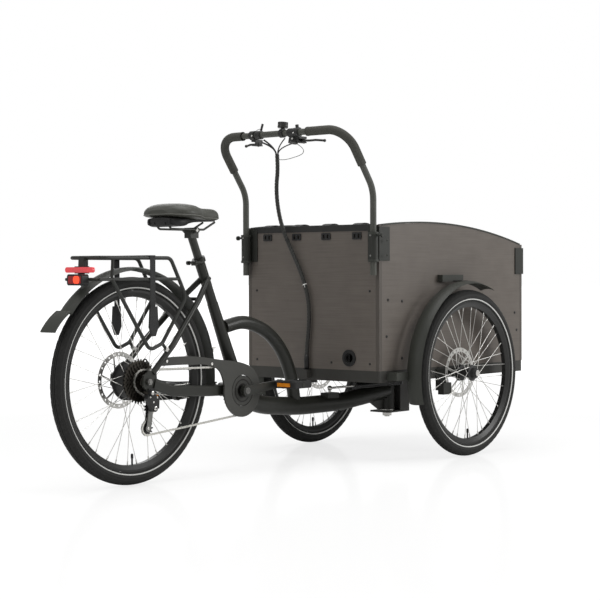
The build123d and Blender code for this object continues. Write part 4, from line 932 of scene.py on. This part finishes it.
class TRICYCLE_OT_box(bpy.types.Operator):
    """Finishes the box, its brackets, mudguards and base, and adds bolts, socket collars and brake hoses"""

    bl_idname = "tricycle.box"
    bl_label = "Finish box"

    def execute(self, context):
        panels = ("side_panel_left", "side_panel_right", "front_panel", "rear_panel")
        wear(coated_board("coated_board", shade("board")), *panels)
        trim = moulding("box_trim", shade("trim"), 0.48, 1300.0)
        wear(trim, "edge_trim", "front_fenders")
        wear(moulding("panel_fittings", shade("plastic"), 0.42), "rear_panel_fittings")
        self.corners()
        wear(powder_coat("base_paint", (0.04, 0.039, 0.035), 0.45), "base_frame")
        wear(coated_board("floor_board", (0.05, 0.045, 0.04)), "box_floor", "bench")
        wear(moulding("battery_case", (0.03, 0.03, 0.03), 0.5), "battery")
        self.bolts()
        self.bracket_pieces(trim)
        self.brake_lines()
        return {"FINISHED"}

    def corners(self):
        """Posts in the boards' colour, with the brackets over them in the trim's."""
        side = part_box("box_floor")[1].y + 0.0156
        rear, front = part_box("rear_panel")[0].x - 0.0002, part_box("front_panel")[1].x + 0.0002
        finish = Finish("corner_metal", shade("trim"), 0.48)
        post = (abs(finish.y) < side) * (finish.x > rear) * (finish.x < front)
        cloud = finish.noise(9.0, 4.0)
        paint = finish.mix(cloud, tinted(shade("trim"), 0.55), tinted(shade("trim"), 0.8))
        board = finish.mix(cloud, tinted(shade("board"), 0.62), tinted(shade("board"), 0.8))
        finish.give("Base Color", finish.mix(post, paint, board))
        finish.give("Roughness", cloud * 0.14 + 0.4)
        finish.bump(finish.cells(1300.0), 0.2, 0.0003)
        wear(finish.material, "corner_brackets")

    def bolts(self):
        """Screw heads on the four panels: X and Z on the sides, Y and Z on the ends."""
        low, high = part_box("side_panel_left")
        rear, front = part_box("rear_panel")[0].x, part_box("front_panel")[1].x
        side_spots = ((34, 245), (115, 240), (26, 119), (836, 185), (850, 118), (115, 40), (760, 40))
        rear_spots = ((-262, 348), (262, 348), (-262, 600), (262, 600), (-90, 348), (100, 348))
        front_spots = ((-250, 350), (250, 350), (0, 350), (-250, 620), (250, 620))
        heads = Shapes()
        for side in (1, -1):
            places = [(low.x + x * MM, side * high.y, low.z + z * MM) for x, z in side_spots]
            heads.bolts(places, (0, side, 0), sizes().bolt_radius, 0.0022)
        for end, face, spots in ((-1, rear, rear_spots), (1, front, front_spots)):
            heads.bolts([(face, y * MM, z * MM) for y, z in spots], (end, 0, 0), 0.0045, 0.002)
        dark = powder_coat("bolt_black", (0.022, 0.021, 0.02), 0.32)
        smooth_by_angle(heads.made("box_bolts", dark, "carriage", "plastic_black"), 40)

    def bracket_pieces(self, trim):
        """Collars and screws of the bar's two sockets."""
        side_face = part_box("corner_brackets")[1].y - 0.0165
        zinc = bare_metal("socket_screws", tinted(shade("steel"), 0.35), 0.42)
        bar_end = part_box("handlebar")[1]
        leg_x, leg_y = bar_end.x - BAR_RADIUS, bar_end.y - BAR_RADIUS
        rim = [(-0.0045, 0.0185), (0.0, 0.0192), (0.0045, 0.0185), (0.0045, 0.0113), (-0.0045, 0.0113)]
        collars, screws = Shapes(), Shapes()
        for side in (1, -1):
            for z in (0.799, 0.705):
                collars.turned((leg_x, side * leg_y, z), (0, 0, 1), rim, 28)
            places = [(leg_x + 0.044, side * side_face, z) for z in (0.724, 0.775)]
            collars.bolts(places, (0, side, 0), 0.0048, 0.0024)
            for z, radius, height in ((0.792, 0.0042, 0.0022), (0.722, 0.0036, 0.0018)):
                screws.bolts([(leg_x - 0.0165, side * leg_y, z)], (-1, 0, 0), radius, height)
        smooth_by_angle(collars.made("bracket_collars", trim, "carriage", "plastic_black"), 30)
        screws.made("bracket_screws", zinc, "carriage", "steel_bright", True)

    def brake_lines(self):
        """Short hoses from the base to the two front brakes."""
        hose = Shapes()
        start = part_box("front_calipers")[0].x
        for side in (1, -1):
            route = [
                (start + 0.012, side * 0.322, 0.266), (start - 0.012, side * 0.326, 0.296),
                (start - 0.050, side * 0.322, 0.306), (start - 0.085, side * 0.312, 0.292),
                (start - 0.100, side * 0.300, 0.281),
            ]
            hose.tube(spline_points(f"front_hose_{side}", route), 0.0025)
        black = moulding("front_hose_black", shade("plastic"), 0.4)
        hose.made("front_hoses", black, "carriage", "cable", True)


# ---------------------------------------------------------------- soft parts

def puffed(made, swell, voxel=0.006, pressure=4.0):
    """Blows a cover up over its foam with cloth, and keeps the result within a cap."""
    remesh = made.modifiers.new("Remesh", "REMESH")
    remesh.mode = "VOXEL"
    remesh.voxel_size = voxel
    apply_modifiers(made)
    start = np.array([v.co for v in made.data.vertices])
    cloth = made.modifiers.new("Cloth", "CLOTH")
    cloth.settings.use_pressure = True
    cloth.settings.uniform_pressure_force = pressure
    cloth.settings.effector_weights.gravity = 0.0
    for step in range(1, 21):
        bpy.context.scene.frame_set(step)
    graph = bpy.context.evaluated_depsgraph_get()
    blown = np.array([v.co for v in made.evaluated_get(graph).data.vertices])
    bpy.context.scene.frame_set(1)
    made.modifiers.clear()
    move = blown - start
    reach = np.linalg.norm(move, axis=1, keepdims=True)
    move *= np.minimum(1.0, swell / np.maximum(reach, 1e-9))
    for vertex, place in zip(made.data.vertices, start + move):
        vertex.co = place
    for face in made.data.polygons:
        face.use_smooth = True
    return subdivided(made, 1)


def rounded_pad(low, high, round_x, steps, channels=()):
    """Rings of a pad with rounded edges and a top that dips at its sewn channels."""
    length, width, height = high - low
    rings = []
    for i in range(steps + 1):
        y = low.y + width * i / steps
        end = min(i, steps - i) / steps * width
        edge = max(0.0, 1 - end / round_x)
        dip = sum(math.exp(-((y - c) / 0.010) ** 2) for c in channels)
        tall = height - edge ** 2 * min(height * 0.45, 0.024) - min(height * 0.22, 0.008) * min(dip, 1)
        half = length * 0.5 * (1 - edge ** 3 * 0.25)
        ring = []
        for k in range(28):
            turn = 2 * math.pi * k / 28
            px = squared(math.cos(turn), 0.45) * half
            pz = squared(math.sin(turn), 0.55) * tall / 2
            ring.append(Vector(((low.x + high.x) / 2 + px, y, low.z + tall / 2 + pz)))
        rings.append(ring)
    return rings


def welt(shapes, points, radius=0.0022):
    """A corded seam along a closed row of points."""
    loop = spaced([*points, points[0]], 0.005)
    shapes.tube(loop, radius, 8)


class TRICYCLE_OT_cushions(bpy.types.Operator):
    """Makes the bench's seat cushion and the padded backrest with its straps"""

    bl_idname = "tricycle.cushions"
    bl_label = "Make cushions"

    def execute(self, context):
        cover = hide("bench_cover", shade("cover"), 0.55, 420.0)
        swell = sizes().cushion_swell
        inset = Vector((swell, swell, swell)) * 0.55
        low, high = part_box("seat_cushion")
        rings = rounded_pad(low + inset, high - inset, 0.05, 48, (-0.0933, 0.0933))
        self.pad("bench_cushion", rings, cover, swell, "seat_cushion", 0.7)
        back_low, back_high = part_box("backrest_pad")
        panel_low, panel_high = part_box("rear_panel")
        back_face = panel_high.x + 0.0012
        rings = rounded_pad(
            Vector((back_face, back_low.y, back_low.z)) + inset * 0.8, back_high - inset * 0.8, 0.03, 60,
            (-0.1375, 0.0, 0.1375),
        )
        self.pad("backrest_cushion", rings, cover, swell * 0.6, "backrest_pad", 0.6)
        self.straps(cover, panel_low.x, back_face, back_high, panel_high.z + 0.0062)
        self.welt(cover, low, high)
        return {"FINISHED"}

    def pad(self, name, rings, cover, swell, node, fill):
        shapes = Shapes()
        shapes.rings(rings)
        made = shapes.made(name, cover, None, "cushion_black", True)
        puffed(made, swell)
        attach(made, "carriage")
        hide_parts(node)

    def straps(self, cover, rear_face, back_face, back_high, top):
        """Loops that hang the backrest on the rear panel, and the flap folded over its top."""
        loops = Shapes()
        for y in (-0.207, -0.068, 0.068, 0.207):
            arch = []
            for share in np.linspace(0, 1, 12):
                x = rear_face - 0.0034 + share * (back_high.x - rear_face)
                arch.append((x, top + 0.0075 * math.sin(math.pi * share) ** 0.6))
            outer = [Vector((x, y - 0.019, z)) for x, z in arch]
            inner = [Vector((x, y - 0.019, z - 0.003)) for x, z in arch[::-1]]
            loops.slab(outer + inner, (0, 0.038, 0))
        hem, width = 0.809, back_high.y - 0.006
        fold = [
            (rear_face - 0.0024, hem), (rear_face - 0.0024, top), (rear_face - 0.0008, top + 0.0017),
            (back_face + 0.004, top + 0.0017), (back_face + 0.004, top + 0.0003),
            (rear_face - 0.0003, top + 0.0003), (rear_face - 0.0010, top - 0.0006),
            (rear_face - 0.0010, hem),
        ]
        flap = Shapes()
        flap.slab([Vector((x, -width, z)) for x, z in fold], (0, 2 * width, 0))
        flap.made("backrest_flap", cover, "carriage", "cushion_black")
        strap = webbing("backrest_strap", (0.018, 0.018, 0.018))
        loops.made("backrest_loops", strap, "carriage", "strap")

    def welt(self, cover, low, high):
        """The corded seam round the seat cushion's middle."""
        seams = Shapes()
        corner, reach = 0.03, 0.027
        edge = []
        for cx, cy, first in (
            (high.x - corner, high.y - corner, 0), (low.x + corner, high.y - corner, 90),
            (low.x + corner, low.y + corner, 180), (high.x - corner, low.y + corner, 270),
        ):
            for step in range(7):
                turn = math.radians(first + step * 15)
                place = (cx + reach * math.cos(turn), cy + reach * math.sin(turn), (low.z + high.z) / 2)
                edge.append(Vector(place))
        welt(seams, edge, 0.0024)
        seams.made("cushion_welt", cover, "carriage", "cushion_black", True)


def saddle_section(share):
    """Half width, top, underside and groove depth of the saddle at a share of its length from the rear."""
    stations = [0.0, 0.05, 0.12, 0.22, 0.34, 0.45, 0.56, 0.68, 0.80, 0.90, 0.96, 1.0]
    widths = [44, 78, 97, 103.5, 99, 84, 61, 44, 38, 34, 27, 13]
    tops = [866, 880, 887.5, 889.5, 888.8, 886.5, 881.5, 877.5, 877, 876, 871, 861]
    lows = [850, 845, 842.5, 841, 839.5, 838, 837, 836.5, 836.5, 836.5, 838.5, 846]
    grooves = [0, 0, 1.0, 2.0, 2.6, 2.6, 2.2, 1.6, 0.8, 0, 0, 0]
    return [np.interp(share, stations, row) * MM for row in (widths, tops, lows, grooves)]


class TRICYCLE_OT_saddle(bpy.types.Operator):
    """Makes the padded saddle with its seam, shell and rear bumper"""

    bl_idname = "tricycle.saddle"
    bl_label = "Make saddle"

    def execute(self, context):
        low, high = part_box("saddle")
        vinyl = hide("saddle_vinyl", shade("vinyl"), 0.46, 650.0)
        shell = moulding("saddle_shell", shade("plastic"), 0.5)
        rings = []
        seam = []
        steps = 26
        inset = 0.0008
        for i in range(steps + 1):
            share = 0.5 - 0.5 * math.cos(math.pi * i / steps)
            x = low.x + inset + (high.x - low.x - 2 * inset) * share
            half, top, under, groove = saddle_section(share)
            seam_z = under + (top - under) * 0.18
            ring = []
            for k in range(24):
                turn = 2 * math.pi * (k + 0.5) / 24
                s = math.sin(turn)
                y = squared(math.cos(turn), 0.72) * half
                if s > 0:
                    z = seam_z + abs(s) ** 0.8 * (top - seam_z)
                    z -= groove * math.exp(-((y / 0.016) ** 2))
                else:
                    y *= 1 - 0.18 * abs(s)
                    z = seam_z - abs(s) ** 0.5 * (seam_z - under)
                ring.append(Vector((x, y, z)))
            rings.append(ring)
            seam.append(Vector((x, half * 0.985, seam_z)))
        body = Shapes()
        body.rings(rings)
        saddle = subdivided(body.made("saddle_cover", vinyl, "seat", "saddle_vinyl", True), 2)
        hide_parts("saddle")
        piping = Shapes()
        mirrored = [Vector((p.x, -p.y, p.z)) for p in seam[::-1]]
        welt(piping, seam[1:-1] + mirrored[1:-1], 0.0012)
        cord = hide("piping_vinyl", (0.16, 0.16, 0.145), 0.4)
        piping.made("saddle_piping", cord, "seat", "saddle_vinyl", True)
        self.underside(low, shell)
        return {"FINISHED"}

    def underside(self, low, shell):
        """The moulded shell under the pad, its rear bumpers and the rail clamp's bolt."""
        made = Shapes()
        rows = (
            (0.008, 0.036, 0.829), (0.016, 0.062, 0.815), (0.034, 0.072, 0.812), (0.066, 0.070, 0.814),
            (0.096, 0.052, 0.822), (0.140, 0.036, 0.829), (0.200, 0.026, 0.832), (0.246, 0.020, 0.834),
        )
        rings = []
        for x, half, under in rows:
            ring = []
            for k in range(20):
                turn = 2 * math.pi * k / 20
                y = squared(math.cos(turn), 0.45) * half
                z = (0.842 + under) / 2 + squared(math.sin(turn), 0.5) * (0.842 - under) / 2
                ring.append(Vector((low.x + x, y, z)))
            rings.append(ring)
        made.rings(rings)
        smooth_by_angle(made.made("saddle_shell", shell, "seat", "plastic_black"), 45)
        ribs = Shapes()
        for y in (-0.048, -0.024, 0.024, 0.048):
            corners = ((y - 0.002, 0.838), (y + 0.002, 0.838), (y + 0.002, 0.820), (y - 0.002, 0.820))
            ribs.slab([(low.x + 0.0085, across, up) for across, up in corners], (0.02, 0, 0))
        ribs.made("saddle_ribs", shell, "seat", "plastic_black")
        bolts = Shapes()
        clamp = Vector((-0.466, 0, 0.804))
        for side in (1, -1):
            bolts.bolts([clamp + Vector((0, side * 0.030, 0))], (0, side, 0), 0.0062, 0.004)
        steel = bare_metal("saddle_bolt", shade("steel"), 0.3)
        bolts.made("saddle_clamp_bolts", steel, "seat", "steel_bright", True)
        wear(powder_coat("post_paint", (0.04, 0.041, 0.036), 0.4), "seat_post")


# ---------------------------------------------------------------- bar, grips and cables

BUNDLE_ROUTE = [
    (0.049, 0.074, 1.082), (0.065, 0.084, 1.034), (0.087, 0.112, 0.974), (0.109, 0.126, 0.906),
    (0.123, 0.120, 0.838), (0.132, 0.096, 0.772), (0.1345, 0.060, 0.708), (0.135, 0.028, 0.644),
    (0.136, 0.006, 0.580), (0.1365, 0.001, 0.512), (0.137, 0.007, 0.444), (0.137, 0.015, 0.380),
    (0.137, 0.015, 0.320),
]
CONTROL_ROUTES = [
    [(0.049, 0.0784, 1.083), (0.041, 0.0734, 1.107), (0.002, 0.104, 1.124)],
    [(0.045, 0.074, 1.080), (0.037, 0.069, 1.104), (-0.004, 0.090, 1.132)],
    [(0.049, 0.0696, 1.081), (0.041, 0.0646, 1.105), (0.006, -0.040, 1.114)],
    [(0.053, 0.074, 1.084), (0.045, 0.069, 1.108), (-0.008, -0.012, 1.131)],
]
THIN_ROUTES = [
    [(0.010, 0.128, 1.130), (0.002, 0.136, 1.158), (-0.010, 0.112, 1.172), (-0.016, 0.090, 1.168)],
    [
        (-0.012, -0.064, 1.112), (-0.004, -0.092, 1.096), (0.010, -0.084, 1.076), (0.022, -0.030, 1.066),
        (0.040, 0.040, 1.060), (0.052, 0.0735, 1.066),
    ],
]


def wrapped_cord(route, radius, pitch):
    """Rings of a cord in a spiral wrap: a flat band that winds round with a small gap."""
    rings = []
    travelled = 0.0
    for i, (point, across, other) in enumerate(frames_along(route)):
        if i:
            travelled += (point - route[i - 1]).length
        ring = []
        for k, spot in enumerate(circle(point, across, other, radius, 24)):
            phase = (travelled / pitch - k / 24) % 1.0
            ring.append(point + (spot - point) * (1.0 if phase < 0.80 else 0.84))
        rings.append(ring)
    return rings


class TRICYCLE_OT_cables(bpy.types.Operator):
    """Makes the spiral-wrapped cable bundle, its ties and the thin control cables"""

    bl_idname = "tricycle.cables"
    bl_label = "Make cables"

    def execute(self, context):
        wrap = moulding("cable_wrap", (0.034, 0.034, 0.031), 0.4)
        black = moulding("cable_black", (0.014, 0.014, 0.014), 0.35)
        line = spaced(spline_points("bundle_line", BUNDLE_ROUTE), 0.0016)
        bundle = Shapes()
        bundle.rings(wrapped_cord(line, 0.0073, sizes().wrap_pitch))
        made = bundle.made("cable_bundle_wrap", wrap, None, "cable", True)
        smooth_by_angle(made, 40)
        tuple(BUNDLE_ROUTE[8])
        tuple(BUNDLE_ROUTE[1])
        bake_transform(made)
        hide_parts("cable_bundle")
        boot = [(0.137, 0.015, 0.322), (0.137, 0.015, 0.350), (0.137, 0.0147, 0.372)]
        foot = Shapes()
        foot.tube(boot, [0.0088, 0.0088, 0.0076], 20)
        foot.made("bundle_boot", black, "carriage", "cable", True)
        self.tie("tie_white", line, 0.62, (0.75, 0.75, 0.72))
        self.tie("tie_black", line, 0.40, (0.02, 0.02, 0.02))
        cables = Shapes()
        for number, route in enumerate(CONTROL_ROUTES):
            points = spaced(spline_points(f"control_line_{number}", route), 0.003)
            cables.tube(points, 0.0030 if number < 2 else 0.0022, 12)
        made = cables.made("control_cable_run", black, "bar", "cable", True)
        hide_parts("control_cables")
        thin = Shapes()
        for number, route in enumerate(THIN_ROUTES):
            thin.tube(spaced(spline_points(f"thin_line_{number}", route), 0.003), 0.0012, 8)
        grey = moulding("thin_cable", (0.16, 0.16, 0.15), 0.35)
        thin.made("thin_cables", grey, "bar", "cable", True)
        return {"FINISHED"}

    def tie(self, name, line, share, colour):
        """A cable tie round the bundle at a share of its length, with its lock and tail."""
        place = int(share * len(line))
        here = line[place]
        ahead = (line[place + 3] - here).normalized()
        band = Shapes()
        band.turned(here - ahead * 0.0015, ahead, [(0, 0.0078), (0.0030, 0.0078)], 24)
        outward = Vector((-1, -0.6, 0)).normalized()
        lock = here + outward * 0.0085
        side = ahead.cross(outward).normalized() * 0.0024
        outline = [lock + side, lock - side, lock - side + outward * 0.003, lock + side + outward * 0.003]
        band.slab([p - ahead * 0.002 for p in outline], ahead * 0.004)
        bends = ((0.002, 0.0), (0.006, 0.004), (0.007, 0.011))
        band.tube([lock + outward * out + ahead * on for out, on in bends], 0.0007, 6)
        made = band.made(name, moulding(f"{name}_plastic", colour, 0.45), None, "plastic_black")
        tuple(BUNDLE_ROUTE[8])
        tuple(BUNDLE_ROUTE[1])
        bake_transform(made)


class TRICYCLE_OT_controls(bpy.types.Operator):
    """Finishes the bar, its grips, levers and small controls"""

    bl_idname = "tricycle.controls"
    bl_label = "Finish controls"

    def execute(self, context):
        wear(powder_coat("bar_paint", shade("bar_paint"), 0.42), "handlebar")
        wear(foam("grip_foam", shade("foam")), "grips")
        plastic = moulding("control_plastic", (0.026, 0.026, 0.025), 0.42)
        wear(plastic, "bar_controls")
        wear(powder_coat("lever_paint", (0.04, 0.04, 0.038), 0.3), "brake_lever_left", "brake_lever_right")
        self.grip_ends()
        self.small_controls()
        return {"FINISHED"}

    def bar_top(self):
        """The middle of the bar's cross tube."""
        low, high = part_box("handlebar")
        return Vector((low.x + BAR_RADIUS, 0, high.z - BAR_RADIUS))

    def grip_ends(self):
        """Raised rings where each foam grip stops."""
        ends = Shapes()
        ring = [(0, 0.0118), (0, 0.0158), (0.0045, 0.0162), (0.007, 0.0150), (0.007, 0.0118)]
        for y in (0.172, -0.124):
            ends.turned(self.bar_top() + Vector((0, y, 0)), (0, math.copysign(1, y), 0), ring, 28)
        finish = foam("grip_ring_foam", tinted(shade("foam"), 0.8))
        smooth_by_angle(ends.made("grip_end_rings", finish, "bar", "foam_grip"), 40)

    def small_controls(self):
        """Pivot screws, clamp screws and the bell's dome."""
        top = self.bar_top()
        screws = Shapes()
        levers = [pivot(f"{name}_brake_squeeze") - Vector((0, 0, 0.0092)) for _, name in SIDES]
        screws.bolts(levers, (0, 0, -1), 0.0036, 0.002)
        clamps = [top + Vector((-0.0155, y, -0.003)) for y in (0.118, -0.074)]
        screws.bolts(clamps, (-1, 0, 0), 0.003, 0.0024)
        screws.bolts([top + Vector((-0.012, -0.0665, -0.022))], (-1, -0.2, 0), 0.0032, 0.0024)
        steel = bare_metal("control_steel", shade("steel"), 0.3)
        screws.made("control_screws", steel, "bar", "steel_bright", True)
        bell = Shapes()
        dome = [
            (0.0, 0.0176), (0.004, 0.0186), (0.010, 0.0182), (0.015, 0.0150), (0.0185, 0.0095),
            (0.0198, 0.0035), (0.0199, 0),
        ]
        bell.turned(top + Vector((0.001, -0.012, 0.0186)), (0.1, 0, 1), dome, 32)
        paint = powder_coat("bell_paint", (0.03, 0.03, 0.028), 0.3)
        smooth_by_angle(bell.made("bell_dome", paint, "bar", "plastic_black"), 40)


# ---------------------------------------------------------------- stage

class TRICYCLE_OT_stage(bpy.types.Operator):
    """Sets the pale floor, the soft light and the camera"""

    bl_idname = "tricycle.stage"
    bl_label = "Set stage"

    def execute(self, context):
        scene = context.scene
        self.floor()
        self.world(scene)
        self.lamps()
        self.camera(scene)
        scene.view_settings.view_transform = "Standard"
        return {"FINISHED"}

    def floor(self):
        mesh = bpy.data.meshes.new("floor")
        reach = 60.0
        corners = [(-reach, -reach, 0), (reach, -reach, 0), (reach, reach, 0), (-reach, reach, 0)]
        mesh.from_pydata(corners, [], [(0, 1, 2, 3)])
        floor = bpy.data.objects.new("floor", mesh)
        bpy.context.scene.collection.objects.link(floor)
        finish = Finish("floor_white", (0.86, 0.86, 0.855), 0.16, IOR=1.28)
        finish.give("Roughness", finish.noise(3.0, 2.0) * 0.04 + 0.1)
        glow = finish.node("ShaderNodeEmission", {}, ((1.0, 1.0, 1.0), 1.22))
        seen = finish.node("ShaderNodeLightPath", output="Is Camera Ray")
        far = finish.contrast((finish.x ** 2 + finish.y ** 2) ** 0.5 * 0.1, 0.22, 0.6)
        share = seen * (far * 0.4 + 0.6)
        mixed = finish.node("ShaderNodeMixShader", {}, (share, Value(finish, finish.shader.outputs[0]), glow))
        finish.join(mixed, finish.tree.nodes["Material Output"].inputs["Surface"])
        mesh.materials.append(finish.material)

    def world(self, scene):
        """White where it is seen directly, and dimmer as a light on the object."""
        world = bpy.data.worlds.new("studio")
        world.use_nodes = True
        studio = Nodes(world.node_tree)
        background = studio.tree.nodes["Background"]
        studio.join((1, 1, 1), background.inputs["Color"])
        direct = studio.node("ShaderNodeLightPath", output="Is Camera Ray")
        through = studio.node("ShaderNodeLightPath", output="Is Transmission Ray")
        studio.join(direct.larger(through) * 0.58 + 0.42, background.inputs["Strength"])
        scene.world = world

    def lamps(self):
        """A broad key from the right, a fill from behind and a softbox overhead."""
        target = Vector((0.0, 0.0, 0.5))
        lights = (
            ("key", (3.2, -4.2, 2.4), 2.4, 125.0), ("fill", (-4.8, 0.6, 2.6), 2.4, 40.0),
            ("top", (0.0, 0.0, 4.4), 3.2, 110.0), ("rim", (2.5, 4.0, 2.8), 2.4, 40.0),
        )
        for name, place, size, power in lights:
            light = bpy.data.lights.new(name, "AREA")
            light.shape = "SQUARE"
            light.size = size
            light.energy = power
            lamp = bpy.data.objects.new(name, light)
            lamp.location = place
            lamp.rotation_euler = (target - Vector(place)).to_track_quat("-Z", "Y").to_euler()
            bpy.context.scene.collection.objects.link(lamp)

    def camera(self, scene):
        """A long lens low behind the right rear wheel."""
        data = bpy.data.cameras.new("camera")
        data.lens = 95.01
        data.sensor_width = 36.0
        data.clip_end = 200.0
        place, direction, roll = (-4.16629, -3.62716, 0.66382), (0.7605, 0.6489, -0.0171), -0.18
        camera = bpy.data.objects.new("camera", data)
        toward = Vector(direction).to_track_quat("-Z", "Y").to_matrix()
        lean = Matrix.Rotation(math.radians(roll), 3, "Z")
        camera.matrix_world = Matrix.Translation(place) @ (toward @ lean).to_4x4()
        scene.collection.objects.link(camera)
        scene.camera = camera


# ---------------------------------------------------------------- panel and running

OPERATORS = (
    TRICYCLE_OT_stage, TRICYCLE_OT_cables, TRICYCLE_OT_frame, TRICYCLE_OT_tyres, TRICYCLE_OT_wheels,
    TRICYCLE_OT_drive, TRICYCLE_OT_box, TRICYCLE_OT_saddle, TRICYCLE_OT_cushions, TRICYCLE_OT_controls,
)


class TRICYCLE_PT_panel(bpy.types.Panel):
    """Lists the sizes, the colours and the operators"""

    bl_idname = "TRICYCLE_PT_panel"
    bl_label = "Cargo tricycle"
    bl_space_type = "VIEW_3D"
    bl_region_type = "UI"
    bl_category = "Tricycle"

    def draw(self, context):
        for group in (context.scene.tricycle_sizes, context.scene.tricycle_colours):
            for name in group.__annotations__:
                self.layout.prop(group, name)
        for operator in OPERATORS:
            self.layout.operator(operator.bl_idname)


CLASSES = (TricycleSizes, TricycleColours, *OPERATORS, TRICYCLE_PT_panel)


def register():
    for item in CLASSES:
        bpy.utils.register_class(item)
    bpy.types.Scene.tricycle_sizes = bpy.props.PointerProperty(type=TricycleSizes)
    bpy.types.Scene.tricycle_colours = bpy.props.PointerProperty(type=TricycleColours)


def unregister():
    del bpy.types.Scene.tricycle_colours
    del bpy.types.Scene.tricycle_sizes
    for item in reversed(CLASSES):
        bpy.utils.unregister_class(item)


def main():
    register()
    for operator in OPERATORS:
        group, name = operator.bl_idname.split(".")
        getattr(getattr(bpy.ops, group), name)()


if __name__ == "__main__":
    main()
